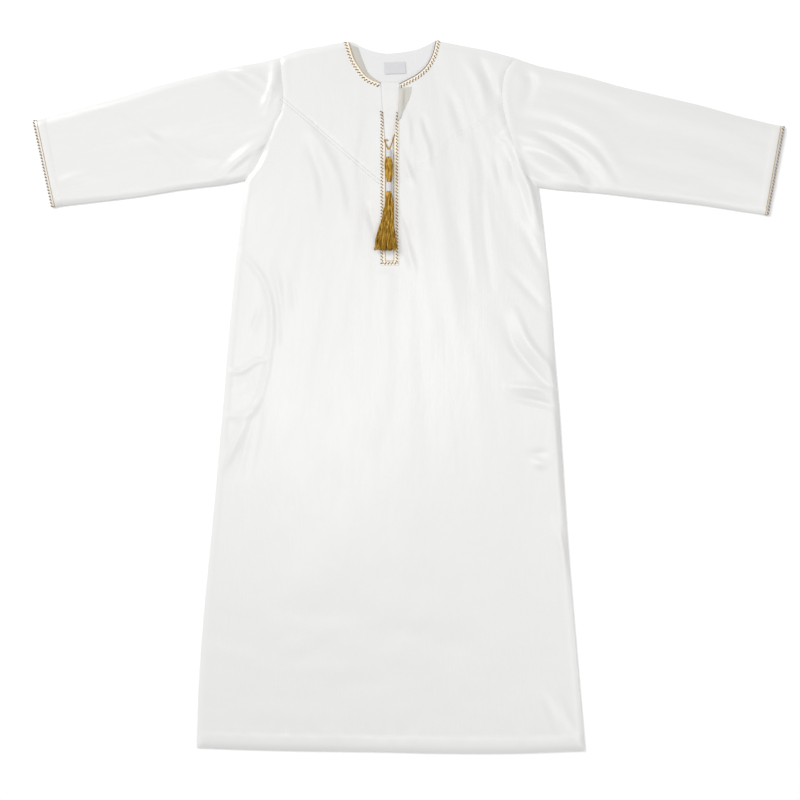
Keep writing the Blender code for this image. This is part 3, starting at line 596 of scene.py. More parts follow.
def back_bottom(points):
    """Height of the back's outer face, which lies on the surface with slight waves."""
    rise = np.clip(path_distance(points, OUTER_EDGE)[0] / EDGE_ROLL, 0, 1)
    return BACK_BOTTOM + np.clip(rise * wave_height(points, points, BACK_WAVES), *BACK_WAVE_LIMITS)


class Amount:
    """A value of a node tree. An expression on it adds the Math nodes."""

    def __init__(self, maker, socket):
        self.maker = maker
        self.socket = socket

    def combine(self, operation, first, second):
        return self.maker.node("ShaderNodeMath", {"operation": operation}, {0: first, 1: second}).out()

    def __add__(self, other):
        return self.combine("ADD", self, other)

    def __sub__(self, other):
        return self.combine("SUBTRACT", self, other)

    def __rsub__(self, other):
        return self.combine("SUBTRACT", other, self)

    def __mul__(self, other):
        return self.combine("MULTIPLY", self, other)

    def __truediv__(self, other):
        return self.combine("DIVIDE", self, other)

    def __rtruediv__(self, other):
        return self.combine("DIVIDE", other, self)

    def __mod__(self, other):
        return self.combine("MODULO", self, other)

    __radd__ = __add__
    __rmul__ = __mul__


class Made:
    """A node just made, with its outputs by name or place."""

    def __init__(self, maker, node):
        self.maker = maker
        self.node = node

    def out(self, name=0):
        return Amount(self.maker, self.node.outputs[name])


class NodeMaker:
    """Adds nodes to a tree: the settings first, then the values or links of its sockets."""

    def __init__(self, tree):
        self.tree = tree

    def node(self, kind, settings=None, values=None):
        node = self.tree.nodes.new(kind)
        for key, value in (settings or {}).items():
            if key == "stops":
                self.set_stops(node.color_ramp, value)
            else:
                setattr(node, key, value)
        for key, value in (values or {}).items():
            if isinstance(value, Amount):
                self.tree.links.new(value.socket, node.inputs[key])
            else:
                node.inputs[key].default_value = value
        return Made(self, node)

    @staticmethod
    def set_stops(ramp, stops):
        while len(ramp.elements) < len(stops):
            ramp.elements.new(1.0)
        for element, (position, colour) in zip(ramp.elements, stops):
            element.position = position
            element.color = (*colour, 1.0)

    def vector(self, operation, first, second):
        return self.node("ShaderNodeVectorMath", {"operation": operation}, {0: first, 1: second}).out()

    def scaled(self, vector, scale):
        return self.node("ShaderNodeVectorMath", {"operation": "SCALE"}, {0: vector, "Scale": scale}).out()


class Finish(NodeMaker):
    """A material with one Principled shader, whose even values sit on its own sockets."""

    def __init__(self, name, **constants):
        self.material = bpy.data.materials.new(name)
        self.material.use_nodes = True
        super().__init__(self.material.node_tree)
        self.shader = self.tree.nodes["Principled BSDF"]
        for key, value in constants.items():
            self.shader.inputs[key.replace("_", " ")].default_value = value

    def feed(self, name, amount):
        self.tree.links.new(amount.socket, self.shader.inputs[name])

    def cut_place(self, across, along):
        """The piece's own cut, in metres, with this many repeats in a metre across and along the grain."""
        cut = self.node("ShaderNodeUVMap", {"uv_map": "cut"}).out()
        return self.node("ShaderNodeMapping", {}, {"Vector": cut, "Scale": (across, along, 1)}).out()

    def object_place(self, scale=(1, 1, 1)):
        place = self.node("ShaderNodeTexCoord").out("Object")
        return self.node("ShaderNodeMapping", {}, {"Vector": place, "Scale": scale}).out()

    def cloud(self, place, scale, detail=3.0, roughness=0.5):
        values = {"Vector": place, "Scale": scale, "Detail": detail, "Roughness": roughness}
        return self.node("ShaderNodeTexNoise", {}, values).out()

    def bands(self, place, scale, direction, distortion=0.5):
        values = {"Vector": place, "Scale": scale, "Distortion": distortion}
        settings = {"wave_type": "BANDS", "bands_direction": direction}
        return self.node("ShaderNodeTexWave", settings, values).out(1)

    def blend(self, share, first, second):
        """A colour between two colours."""
        values = {0: share, 6: (*first, 1.0), 7: (*second, 1.0)}
        return self.node("ShaderNodeMix", {"data_type": "RGBA"}, values).out(2)

    def ramp(self, share, stops):
        return self.node("ShaderNodeValToRGB", {"stops": stops}, {"Fac": share}).out()

    def bump(self, height, distance):
        self.feed("Normal", self.node("ShaderNodeBump", {}, {"Height": height, "Distance": distance}).out())


def satin(name, light, dark, roughness):
    """Satin: fine long slubs along the grain, a thread weave, and a soft uneven gloss."""
    finish = Finish(name, Specular_IOR_Level=1.0, Sheen_Weight=0.06, Sheen_Roughness=0.4)
    slub = finish.cloud(finish.cut_place(420, 22), 1.0, 4.0, 0.6)
    fleck = finish.cloud(finish.cut_place(150, 60), 1.0, 3.0, 0.6)
    drift = finish.cloud(finish.cut_place(9, 3), 1.0, 2.0)
    weave = finish.bands(finish.cut_place(1, 1), 900.0, "DIAGONAL")
    finish.feed("Base Color", finish.blend(drift * 0.7 + slub * 0.3, light, dark))
    finish.feed("Roughness", slub * 0.10 + drift * 0.10 + (roughness - 0.10))
    crumple = finish.cloud(finish.cut_place(75, 24), 1.0, 3.0, 0.55)
    finish.bump(crumple * 1.8 + slub * 0.5 + fleck * 0.5 + weave * 0.05, 0.00016)
    return finish.material


def gold_thread(name, colours, shine):
    """Thread spun with gold, coloured from painted shade in its hollows to a painted highlight on its turns.
    """
    finish = Finish(name, Specular_IOR_Level=shine)
    place = finish.object_place()
    patch = finish.cloud(place, 700.0, 2.0)
    twist = finish.cloud(place, 3500.0, 2.0)
    finish.feed("Base Color", finish.ramp(patch * 0.75 + twist * 0.25, list(zip((0.34, 0.5, 0.66), colours))))
    finish.feed("Roughness", patch * 0.2 + (0.55 - 0.4 * shine))
    finish.bump(twist, 0.00015)
    return finish.material


def gold_silk():
    """The tassel's silk: gold, with painted shade between its strands and painted highlights along them."""
    finish = Finish("gold silk", Specular_IOR_Level=0.25)
    strand = finish.cloud(finish.object_place((1500, 60, 900)), 1.0, 3.0)
    lock = finish.cloud(finish.object_place((850, 130, 500)), 1.0, 2.0)
    # The near-black brown is painted shade and the pale yellow a painted highlight.
    colours = [(0.38, (0.13, 0.052, 0.001)), (0.5, (0.42, 0.22, 0.012)), (0.62, (0.80, 0.53, 0.10))]
    finish.feed("Base Color", finish.ramp(strand * 0.5 + lock * 0.5, colours))
    finish.feed("Roughness", strand * 0.25 + 0.30)
    finish.bump(strand, 0.0001)
    return finish.material


def plain_thread(name, light, dark):
    """Sewing thread in one colour, slightly uneven."""
    finish = Finish(name, Specular_IOR_Level=0.5, Sheen_Weight=0.1)
    patch = finish.cloud(finish.object_place(), 800.0, 2.0)
    finish.feed("Base Color", finish.blend(patch, light, dark))
    finish.feed("Roughness", patch * 0.2 + 0.42)
    finish.bump(patch, 0.0001)
    return finish.material


def cream_braid():
    """The gold and cream ground that the embroidery covers."""
    finish = Finish("cream braid", Specular_IOR_Level=0.55)
    rib = finish.bands(finish.object_place(), 260.0, "DIAGONAL", 2.0)
    patch = finish.cloud(finish.object_place(), 420.0, 2.0)
    finish.feed("Base Color", finish.blend(patch, (0.93, 0.86, 0.73), (0.88, 0.84, 0.75)))
    finish.feed("Roughness", patch * 0.15 + 0.35)
    finish.bump(rib, 0.0001)
    return finish.material


def label_cloth():
    """Plain woven label: a fine rib and a slightly greyer face than the satin."""
    finish = Finish("label cloth", Specular_IOR_Level=0.45)
    rib = finish.bands(finish.object_place(), 420.0, "Y", 0.3)
    patch = finish.cloud(finish.object_place(), 500.0, 2.0)
    finish.feed("Base Color", finish.blend(patch, (0.61, 0.61, 0.635), (0.67, 0.67, 0.69)))
    finish.feed("Roughness", patch * 0.15 + 0.5)
    finish.bump(rib, 0.0001)
    return finish.material


def floor_finish():
    """Almost even near-white, without gloss."""
    finish = Finish("pale floor", Roughness=0.8)
    patch = finish.cloud(finish.object_place(), 3.0, 2.0)
    finish.feed("Base Color", finish.blend(patch, (0.96, 0.96, 0.96), (0.97, 0.97, 0.97)))
    return finish.material


SATIN = satin("white satin", (0.755, 0.751, 0.739), (0.722, 0.718, 0.706), 0.33)
# The back's satin is duller, and painted a little darker than the front: painted shade inside the neck.
DULL_INSIDE_SATIN_AND_SHADE = satin("inside of the satin", (0.735, 0.735, 0.735), (0.69, 0.69, 0.69), 0.45)
# The facing's satin is painted darker and warmer than the rest: painted shade inside the neck and on the
# turned slit edge.
SHADED_FACING = satin("cream facing", (0.60, 0.575, 0.52), (0.52, 0.50, 0.45), 0.5)
GOLD_THREAD = gold_thread("gold thread", [(0.30, 0.17, 0.05), (0.52, 0.33, 0.12), (0.80, 0.62, 0.32)], 0.5)
# Dark gold on the zigzags' shaded slopes and on the left neck cord: painted shade.
PAINTED_SHADE_GOLD = gold_thread("dark gold thread",
                        [(0.03, 0.012, 0.002), (0.08, 0.038, 0.008), (0.24, 0.13, 0.035)], 0.12)
# Pale gold on the zigzags' bright slopes: painted highlight.
PAINTED_HIGHLIGHT_GOLD = gold_thread("pale gold thread", [(0.36, 0.23, 0.08), (0.56, 0.39, 0.17), (0.80, 0.65, 0.38)], 0.5)
GOLD_SILK = gold_silk()
CREAM_BRAID = cream_braid()
WRAP_THREAD = plain_thread("white wrap thread", (0.80, 0.80, 0.82), (0.70, 0.70, 0.73))
# Grey thread on the right yoke only, where the left yoke's is white: painted shade along that seam.
PAINTED_SHADE_THREAD = plain_thread("grey sewing thread", (0.38, 0.37, 0.36), (0.28, 0.275, 0.27))
LABEL_CLOTH = label_cloth()


def add_piece(name, points, faces, material, cut=None, nodes=()):
    """A piece from points in millimetres. cut holds each point's place in the flat cloth, in metres."""
    mesh = bpy.data.meshes.new(name)
    mesh.from_pydata((np.asarray(points, float) * MM).tolist(), [], faces)
    mesh.update()
    if cut is not None:
        corners = np.empty(len(mesh.loops), int)
        mesh.loops.foreach_get("vertex_index", corners)
        layer = mesh.uv_layers.new(name="cut")
        layer.data.foreach_set("uv", np.asarray(cut)[corners].ravel())
    piece = place_piece(name, mesh, material, nodes)
    mesh.set_sharp_from_angle(angle=math.radians(50))
    return piece


def place_piece(name, mesh, material, nodes=()):
    """Puts a mesh into the scene on the gown's body."""
    mesh.name = name
    mesh.shade_smooth()
    mesh.materials.clear()
    mesh.materials.append(material)
    piece = bpy.data.objects.new(name, mesh)
    bpy.context.collection.objects.link(piece)
    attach(piece, BODY)
    if nodes:
        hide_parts(*nodes)
    return piece


# Nearest that a panel's inner points come to its edge and to a guide line, as shares of their spacing, and
# nearest that a guide line's points come to the edge, in millimetres
EDGE_CLEARANCE = 0.45
GUIDE_CLEARANCE = 0.35
GUIDE_EDGE_GAP = 0.6


def triangulate(loop, spacing, guides=()):
    """Plan points and triangles that fill a closed loop, with points on the guide lines too."""
    low, high = loop.min(axis=0), loop.max(axis=0)
    rows = np.arange(low[1], high[1], spacing * math.sqrt(0.75))
    columns = np.arange(low[0], high[0], spacing)
    grid = [(x + (spacing / 2 if j % 2 else 0), y) for j, y in enumerate(rows) for x in columns]
    grid = np.array(grid).reshape(-1, 2)
    closed = np.vstack([loop, loop[:1]])
    grid = grid[inside(grid, loop)]
    grid = grid[path_distance(grid, closed)[0] > EDGE_CLEARANCE * spacing]
    for guide in guides:
        grid = grid[path_distance(grid, guide)[0] > GUIDE_CLEARANCE * spacing]
    for guide in guides:
        guide = guide[inside(guide, loop)]
        grid = np.vstack([grid, guide[path_distance(guide, closed)[0] > GUIDE_EDGE_GAP]])
    corners = [Vector(p) for p in loop] + [Vector(p) for p in grid]
    count = len(loop)
    edges = [(i, (i + 1) % count) for i in range(count)]
    plan, _, faces = delaunay_2d_cdt(corners, edges, [], 0, 1e-5)[:3]
    plan = np.array([tuple(p) for p in plan])
    faces = np.array(faces)
    faces = faces[inside(plan[faces].mean(axis=1), loop)]
    a, b, c = (plan[faces[:, k]] for k in range(3))
    turned = (b - a)[:, 0] * (c - a)[:, 1] - (b - a)[:, 1] * (c - a)[:, 0] < 0
    faces[turned] = faces[turned][:, ::-1]
    used, faces = np.unique(faces, return_inverse=True)
    return plan[used], faces.reshape(-1, 3)


def rim_faces(faces, count):
    """Side faces between an upper and a lower copy of the triangles."""
    edges = np.vstack([faces[:, [0, 1]], faces[:, [1, 2]], faces[:, [2, 0]]]).tolist()
    known = set(map(tuple, edges))
    return [(b, a, a + count, b + count) for a, b in edges if (b, a) not in known]


def cloth_panel(name, loop, spacing, bottom, thickness, material, nodes=(), guides=()):
    """A closed sheet of cloth. bottom works out the height of its lower face from plan points."""
    plan, faces = triangulate(np.asarray(loop, float), spacing, guides)
    count = len(plan)
    height = bottom(plan)
    points = np.vstack([np.column_stack([plan, height + thickness]), np.column_stack([plan, height])])
    all_faces = faces.tolist() + (faces[:, ::-1] + count).tolist() + rim_faces(faces, count)
    return add_piece(name, points, all_faces, material, np.vstack([plan, plan]) * MM, nodes)


class SleevePatch:
    """A flattened sleeve between its armhole, cuff and two folded edges."""

    def __init__(self, armhole, top, under, shift):
        self.armhole = smooth_path(armhole, FINE_STEP) + [shift, 0]
        self.top = smooth_path(top, FINE_STEP)
        self.under = smooth_path(under, FINE_STEP)
        self.shift = shift
        self.length = np.linalg.norm(np.diff(self.top, axis=0), axis=1).sum()
        self.width = np.linalg.norm(self.top[0] - self.under[0])
        self.across = np.concatenate([FOLD_SHARES, MIDDLE_SHARES, 1 - FOLD_SHARES[::-1]])

    def station(self, along, across):
        """Plan points across the sleeve, at a share of the way to the cuff."""
        move = np.array([self.shift * (1 - along), 0])
        upper = resample(self.top, shares=[along])[0] + move
        lower = resample(self.under, shares=[along])[0] + move
        arm = resample(self.armhole, shares=across)
        across = np.asarray(across)[:, None]
        bulge = arm - (arm[0] * (1 - across) + arm[-1] * across)
        return upper * (1 - across) + lower * across + bulge * (1 - along) ** 1.5

    def cut(self, along, across):
        """Places in the flat sleeve, in millimetres."""
        return np.column_stack([across * self.width, np.full(len(across), along * self.length)])

    def rings(self, alongs):
        """Rings of points round the tube at shares of the way to the cuff, outer ones and inner ones."""
        count = len(self.across)
        plan = np.vstack([self.station(along, self.across) for along in alongs])
        hollow = 0.5 + (self.across - 0.5) * (1 - 2 * CLOTH / self.width)
        hollow_plan = np.vstack([self.station(along, hollow) for along in alongs])
        cut = np.vstack([self.cut(along, self.across) for along in alongs])
        cuff = self.length - cut[:, 1]
        lift = CUFF_LIFT * soft_step(0.9 - cuff / CUFF_RAMP)
        seam = armhole_distance(plan)
        waves = wave_height(plan, cut + [0, SLEEVE_WAVE_SHIFT * self.shift], SLEEVE_WAVES)
        waves *= seam_calm(seam) * np.minimum(1, 0.35 + cuff / 60)
        hem = CUFF_HEM_RISE * soft_step((CUFF_HEM + 1 - cuff) / STEP_WIDTH)
        hem -= HEM_ROW_DEPTH * ridge(cuff - CUFF_HEM, CUFF_ROW_WIDTH)
        top = cloth_top(plan, crease_height(plan) + seam_groove(seam) + waves + hem) + lift
        bottom = BACK_BOTTOM + lift
        edge = np.clip(path_distance(plan, OUTER_EDGE_LOOP)[0] / FOLD_RADIUS, 0, 1).reshape(-1, count)
        edge[:, [0, -1]] = 0
        fold = np.sqrt(1 - (1 - edge.ravel()) ** 2)
        middle = (BACK_BOTTOM + EDGE_TOP) / 2 + lift
        top = middle + (top - middle) * fold
        bottom = middle + (bottom - middle) * fold
        centre = (top + bottom) / 2
        hollow_top = np.maximum(top - CLOTH, centre + HOLLOW_GAP * fold)
        hollow_bottom = np.minimum(bottom + CLOTH, centre - HOLLOW_GAP * fold)
        sets = []
        for ring_plan, upper, lower in ((plan, top, bottom), (hollow_plan, hollow_top, hollow_bottom)):
            upper = np.column_stack([ring_plan, upper]).reshape(-1, count, 3)
            lower = np.column_stack([ring_plan, lower]).reshape(-1, count, 3)
            sets.append(np.concatenate([upper, lower[:, -2:0:-1]], axis=1))
        return sets

    def ring_line(self, distance, lift):
        """A line round the tube at a distance from the cuff's edge, lifted, with its outward directions."""
        ring = self.rings([1 - distance / self.length])[0][0]
        ahead = np.roll(ring, -1, axis=0) - np.roll(ring, 1, axis=0)
        axis = np.append(self.top[-1] - self.top[-10], 0)
        outward = np.cross(ahead, axis / np.linalg.norm(axis))
        outward /= np.linalg.norm(outward, axis=1)[:, None]
        if outward[len(self.across) // 2, 2] < 0:
            outward = -outward
        return ring + outward * lift, outward, True


def build_sleeve(name, patch, nodes):
    """A flattened tube of cloth, all round, open at the armhole and at the cuff."""
    even = np.linspace(0, 1 - CUFF_ZONE / patch.length, SLEEVE_STATIONS)
    alongs = np.concatenate([even, 1 - CUFF_STATIONS / patch.length])
    points = []
    cuts = []
    for along, outer, inner in zip(alongs, *patch.rings(alongs)):
        points += [outer, inner]
        cut = patch.cut(along, patch.across) * MM
        cut = np.vstack([cut, cut[-2:0:-1] * [-1, 1]])
        cuts += [cut, cut]
    sides = len(points[0])
    faces = []
    for station in range(len(alongs) - 1):
        start = station * 2 * sides
        ahead = start + 2 * sides
        for i in range(sides):
            j = (i + 1) % sides
            faces.append((start + i, start + j, ahead + j, ahead + i))
            faces.append((start + sides + j, start + sides + i, ahead + sides + i, ahead + sides + j))
    last = (len(alongs) - 1) * 2 * sides
    for i in range(sides):
        j = (i + 1) % sides
        faces.append((j, i, sides + i, sides + j))
        faces.append((last + i, last + j, last + sides + j, last + sides + i))
    if patch.shift < 0:
        faces = [face[::-1] for face in faces]
    return add_piece(name, np.vstack(points), faces, SATIN, np.vstack(cuts), nodes)


class Recipe(NodeMaker):
    """A Geometry Nodes tree that turns lines into sewn thread, with named sizes as its inputs."""

    def __init__(self, name, sizes):
        super().__init__(bpy.data.node_groups.new(name, "GeometryNodeTree"))
        sockets = self.tree.interface
        sockets.new_socket(name="Lines", in_out="INPUT", socket_type="NodeSocketGeometry")
        for size, value in sizes.items():
            socket = sockets.new_socket(name=size, in_out="INPUT", socket_type="NodeSocketFloat")
            socket.default_value = value * MM
        sockets.new_socket(name="Finish", in_out="INPUT", socket_type="NodeSocketMaterial")
        sockets.new_socket(name="Thread", in_out="OUTPUT", socket_type="NodeSocketGeometry")
        self.inputs = self.node("NodeGroupInput")
        self.lines = self.node("GeometryNodeMeshToCurve", {}, {"Mesh": self.size("Lines")}).out()
        self.run = self.node("GeometryNodeInputTangent").out()
        self.up = self.node("GeometryNodeInputNamedAttribute", {"data_type": "FLOAT_VECTOR"},
                            {"Name": "up"}).out()
        self.sideways = self.vector("CROSS_PRODUCT", self.run, self.up)

    def size(self, name):
        return self.inputs.out(name)

    def evened(self, step):
        values = {"Curve": self.lines, "Length": step}
        return self.node("GeometryNodeResampleCurve", {"mode": "LENGTH"}, values).out()

    def moved(self, geometry, offset):
        return self.node("GeometryNodeSetPosition", {}, {"Geometry": geometry, "Offset": offset}).out()

    def tube(self, curve, radius, sides):
        values = {"Resolution": sides, "Radius": radius}
        ring = self.node("GeometryNodeCurvePrimitiveCircle", {}, values).out("Curve")
        values = {"Curve": curve, "Profile Curve": ring, "Fill Caps": True}
        return self.node("GeometryNodeCurveToMesh", {}, values).out("Mesh")

    def copies(self, thread, spacing, chosen=True):
        """Copies of a thread a spacing apart on the lines, turned to follow them."""
        turn = self.node("FunctionNodeAlignRotationToVector", {"axis": "X"}, {"Vector": self.run}).out()
        turn = self.node("FunctionNodeAlignRotationToVector", {"axis": "Z", "pivot_axis": "X"},
                         {"Rotation": turn, "Vector": self.up}).out()
        values = {"Points": self.evened(spacing), "Selection": chosen, "Instance": thread, "Rotation": turn}
        return self.node("GeometryNodeInstanceOnPoints", {}, values).out()

    def arch(self, start, end, radius):
        """A short thread that dips into the cloth at both ends. start and end are x and y."""
        low = radius * -ARCH_DIP
        ends = [self.node("ShaderNodeCombineXYZ", {}, {0: x, 1: y, 2: low}).out() for x, y in (start, end)]
        crest = self.node("ShaderNodeCombineXYZ", {}, {2: radius * ARCH_CREST}).out()
        values = {"Resolution": 4, "Start": ends[0], "Middle": crest, "End": ends[1]}
        return self.tube(self.node("GeometryNodeCurveQuadraticBezier", {}, values).out(), radius, 5)

    def close(self, *parts):
        join = self.node("GeometryNodeJoinGeometry")
        for part in parts:
            self.tree.links.new(part.socket, join.node.inputs[0])
        whole = self.node("GeometryNodeRealizeInstances", {}, {"Geometry": join.out()}).out()
        values = {"Geometry": whole, "Material": self.size("Finish")}
        done = self.node("GeometryNodeSetMaterial", {}, values).out()
        self.tree.links.new(done.socket, self.node("NodeGroupOutput").node.inputs[0])
        return self.tree


def zigzag_recipe():
    """One slope of a zigzag: slanted bundles of threads. A lean above zero takes the odd places."""
    sizes = {"Repeat": ZIGZAG_REPEAT, "Width": ZIGZAG_WIDTH, "Radius": FINE_THREAD, "Lean": ZIGZAG_REPEAT / 4}
    recipe = Recipe("zigzag slope", sizes)
    lean, reach = recipe.size("Lean"), recipe.size("Width") * 0.5
    chosen = (recipe.node("GeometryNodeInputIndex").out() + lean.combine("GREATER_THAN", lean, 0.0)) % 2
    threads = []
    for shift in ZIGZAG_THREADS:
        start = (shift * MM - lean, reach * -1)
        thread = recipe.arch(start, (lean + shift * MM, reach), recipe.size("Radius"))
        threads.append(recipe.copies(thread, recipe.size("Repeat") * 0.5, chosen))
    return recipe.close(*threads)


def cord_recipe():
    """A cord of two plies twisted round a line."""
    recipe = Recipe("twisted cord", {"Step": 0.5, "Radius": CORD_RADIUS, "Twist": CORD_TWIST})
    evened = recipe.evened(recipe.size("Step"))
    turn = recipe.node("GeometryNodeSplineParameter").out("Length") / recipe.size("Twist") * math.tau
    plies = []
    for start in (0, math.pi):
        angle = turn + start
        cosine = recipe.node("ShaderNodeMath", {"operation": "COSINE"}, {0: angle}).out()
        sine = recipe.node("ShaderNodeMath", {"operation": "SINE"}, {0: angle}).out()
        reach = recipe.size("Radius") * 0.85
        offset = recipe.vector("ADD", recipe.scaled(recipe.sideways, cosine * reach),
                               recipe.scaled(recipe.up, sine * reach))
        plies.append(recipe.tube(recipe.moved(evened, offset), recipe.size("Radius"), 5))
    return recipe.close(*plies)


def strand_recipe():
    """A strand along each line, through its own points."""
    recipe = Recipe("strands", {"Radius": SKIRT_STRAND_RADIUS})
    return recipe.close(recipe.tube(recipe.lines, recipe.size("Radius"), 4))


def stitch_recipe():
    """A row of stitches: short arched threads that dip into the cloth at both ends."""
    recipe = Recipe("stitches", {"Pitch": STITCH_PITCH, "Length": STITCH_LENGTH, "Radius": STITCH_RADIUS})
    half = recipe.size("Length") * 0.5
    stitch = recipe.arch((half * -1, 0), (half, 0), recipe.size("Radius"))
    return recipe.close(recipe.copies(stitch, recipe.size("Pitch")))


def line_mesh(name, lines):
    """Lines as edges only. Each line is its points, its outward directions and whether it is closed."""
    points, ups, edges = [], [], []
    for line, up, closed in lines:
        first = len(points)
        points += np.asarray(line, float).tolist()
        ups += np.broadcast_to(up, (len(line), 3)).tolist()
        edges += [(first + i, first + i + 1) for i in range(len(line) - 1)]
        if closed:
            edges.append((first + len(line) - 1, first))
    mesh = bpy.data.meshes.new(name + " lines")
    mesh.from_pydata((np.array(points) * MM).tolist(), edges, [])
    mesh.attributes.new("up", "FLOAT_VECTOR", "POINT").data.foreach_set("vector", np.array(ups).ravel())
    return mesh


def run_recipe(name, tree, lines, material, sizes=None, nodes=()):
    """Runs a tree over lines in millimetres, and keeps the result as a plain mesh piece."""
    source = bpy.data.objects.new(name + " lines", line_mesh(name, lines))
    bpy.context.collection.objects.link(source)
    modifier = source.modifiers.new("thread", "NODES")
    modifier.node_group = tree
    sockets = {item.name: item.identifier for item in tree.interface.items_tree if item.in_out == "INPUT"}
    modifier[sockets["Finish"]] = material
    for size, value in (sizes or {}).items():
        modifier[sockets[size]] = value * MM
    bpy.context.view_layer.update()
    graph = bpy.context.evaluated_depsgraph_get()
    mesh = bpy.data.meshes.new_from_object(source.evaluated_get(graph), depsgraph=graph)
    bpy.data.objects.remove(source, do_unlink=True)
    if "up" in mesh.attributes:
        mesh.attributes.remove(mesh.attributes["up"])
    turn_outwards(mesh)
    return place_piece(name, mesh, material, nodes)


def turn_outwards(mesh):
    """Turns the mesh the right way out where its volume comes out below zero."""
    shape = bmesh.new()
    shape.from_mesh(mesh)
    if shape.calc_volume(signed=True) < 0:
        bmesh.ops.reverse_faces(shape, faces=shape.faces)
    shape.to_mesh(mesh)
    shape.free()


UP = (0.0, 0.0, 1.0)
DOWN = (0.0, 0.0, -1.0)


def open_line(points):
    """A line through the points, open at both ends, with its outward direction up."""
    return points, UP, False


def on_front(line, lift):
    """A plan line laid on the front, at a lift above its face."""
    return open_line(np.column_stack([line, front_top(line) + lift]))


def under_back(line, lift):
    """A plan line on the outer face of the back, at a lift into the cloth."""
    return np.column_stack([line, back_bottom(line) + lift]), DOWN, False


def run_zigzag(name, line, thickness=1.0):
    """Both slopes of a zigzag: one in gold with a painted highlight, the other in dark gold with painted
    shade.
    """
    slopes = (("shaded", PAINTED_SHADE_GOLD, 1, SHADED_RADIUS), ("bright", PAINTED_HIGHLIGHT_GOLD, -1, BRIGHT_RADIUS))
    return [run_recipe(f"{name}_{word}_slope", ZIGZAG, [line], finish,
                       {"Lean": side * ZIGZAG_REPEAT / 4, "Radius": radius * thickness})
            for word, finish, side, radius in slopes]


ZIGZAG = zigzag_recipe()
CORD = cord_recipe()
STRANDS = strand_recipe()
STITCHES = stitch_recipe()
RIGHT_PATCH = SleevePatch(RIGHT_ARMHOLE, RIGHT_SLEEVE_TOP, RIGHT_SLEEVE_UNDER, -SEAM_SHIFT)
LEFT_PATCH = SleevePatch(LEFT_ARMHOLE, LEFT_SLEEVE_TOP, LEFT_SLEEVE_UNDER, SEAM_SHIFT)


def body_lines():
    """The outline that front and back share: down the right side, along the hem and up the left."""
    return outline(OUTLINE_STEP, RIGHT_SHOULDER, RIGHT_ARMHOLE, RIGHT_SIDE, HEM, LEFT_SIDE[::-1],
                   LEFT_ARMHOLE[::-1], LEFT_SHOULDER[::-1])


def seam_guides():
    """Lines of points close to each seam and row of stitches, so that their relief is crisp."""
    guides = []
    for yoke in (RIGHT_YOKE, LEFT_YOKE):
        line = smooth_path(yoke, LINE_STEP)
        guides += [beside(line, -offset) for offset in (-1.2, 1.2, YOKE_ROWS[1])]
    hem = smooth_path(HEM, LINE_STEP)
    guides += [beside(hem, -offset) for offset in (HEM_DEPTH - 1.4, HEM_DEPTH, HEM_DEPTH + 2.2)]
    right, left = outline(LINE_STEP, RIGHT_ARMHOLE, LEFT_ARMHOLE)
    guides += [beside(right, -1.5), beside(left, 1.5)]
    return guides


def build_body():
    """The front with its slit, and the back below it."""
    front_neck = outline(FINE_STEP, LEFT_NECK, SLIT_LEFT_EDGE, SLIT_RIGHT_EDGE[::-1], RIGHT_NECK[::-1])
    front_loop = joined(*body_lines(), *front_neck)
    front = cloth_panel("front_cloth", front_loop, FRONT_SPACING, lambda p: front_top(p) - CLOTH, CLOTH,
                        SATIN, ["front"], seam_guides())
    back_loop = joined(*body_lines(), smooth_path(BACK_NECK[::-1], FINE_STEP))
    # The back's slightly darker colour is painted shade.
    back = cloth_panel("back_cloth", back_loop, BACK_SPACING, back_bottom, CLOTH, DULL_INSIDE_SATIN_AND_SHADE,
                       ["back"])
    return front, back, front_loop, back_loop


def under_front(points):
    """Lower face of the underlap: against the inside of the front, and bulging up into the open slit."""
    slit = np.vstack([smooth_path(SLIT_LEFT_EDGE, LINE_STEP), smooth_path(SLIT_RIGHT_EDGE[::-1], LINE_STEP)])
    depth = path_distance(points, np.vstack([slit, slit[:1]]))[0]
    bulge = inside(points, slit) * soft_step((depth - BULGE_INSET) / BULGE_RUN)
    bulge *= 0.5 + 0.5 * soft_step((PLACKET_TOP_Y - points[:, 1]) / 4)
    top_end = np.clip((points[:, 1] - DROP_START_Y) / DROP_RUN, 0, 1)
    return front_top(points) - CLOTH - UNDERLAP_GAP - DROP * top_end ** 2 + bulge


def turned_edge_bottom(points):
    """The top of the slit's left edge is turned out, so that its wrong side shows on the front, painted
    darker: painted shade.
    """
    share = (points[:, 0] - TURN_FOLD_X) / TURN_WIDTH
    return front_top(points) + TURN_GAP + TURN_RISE * soft_step(0.5 - share)


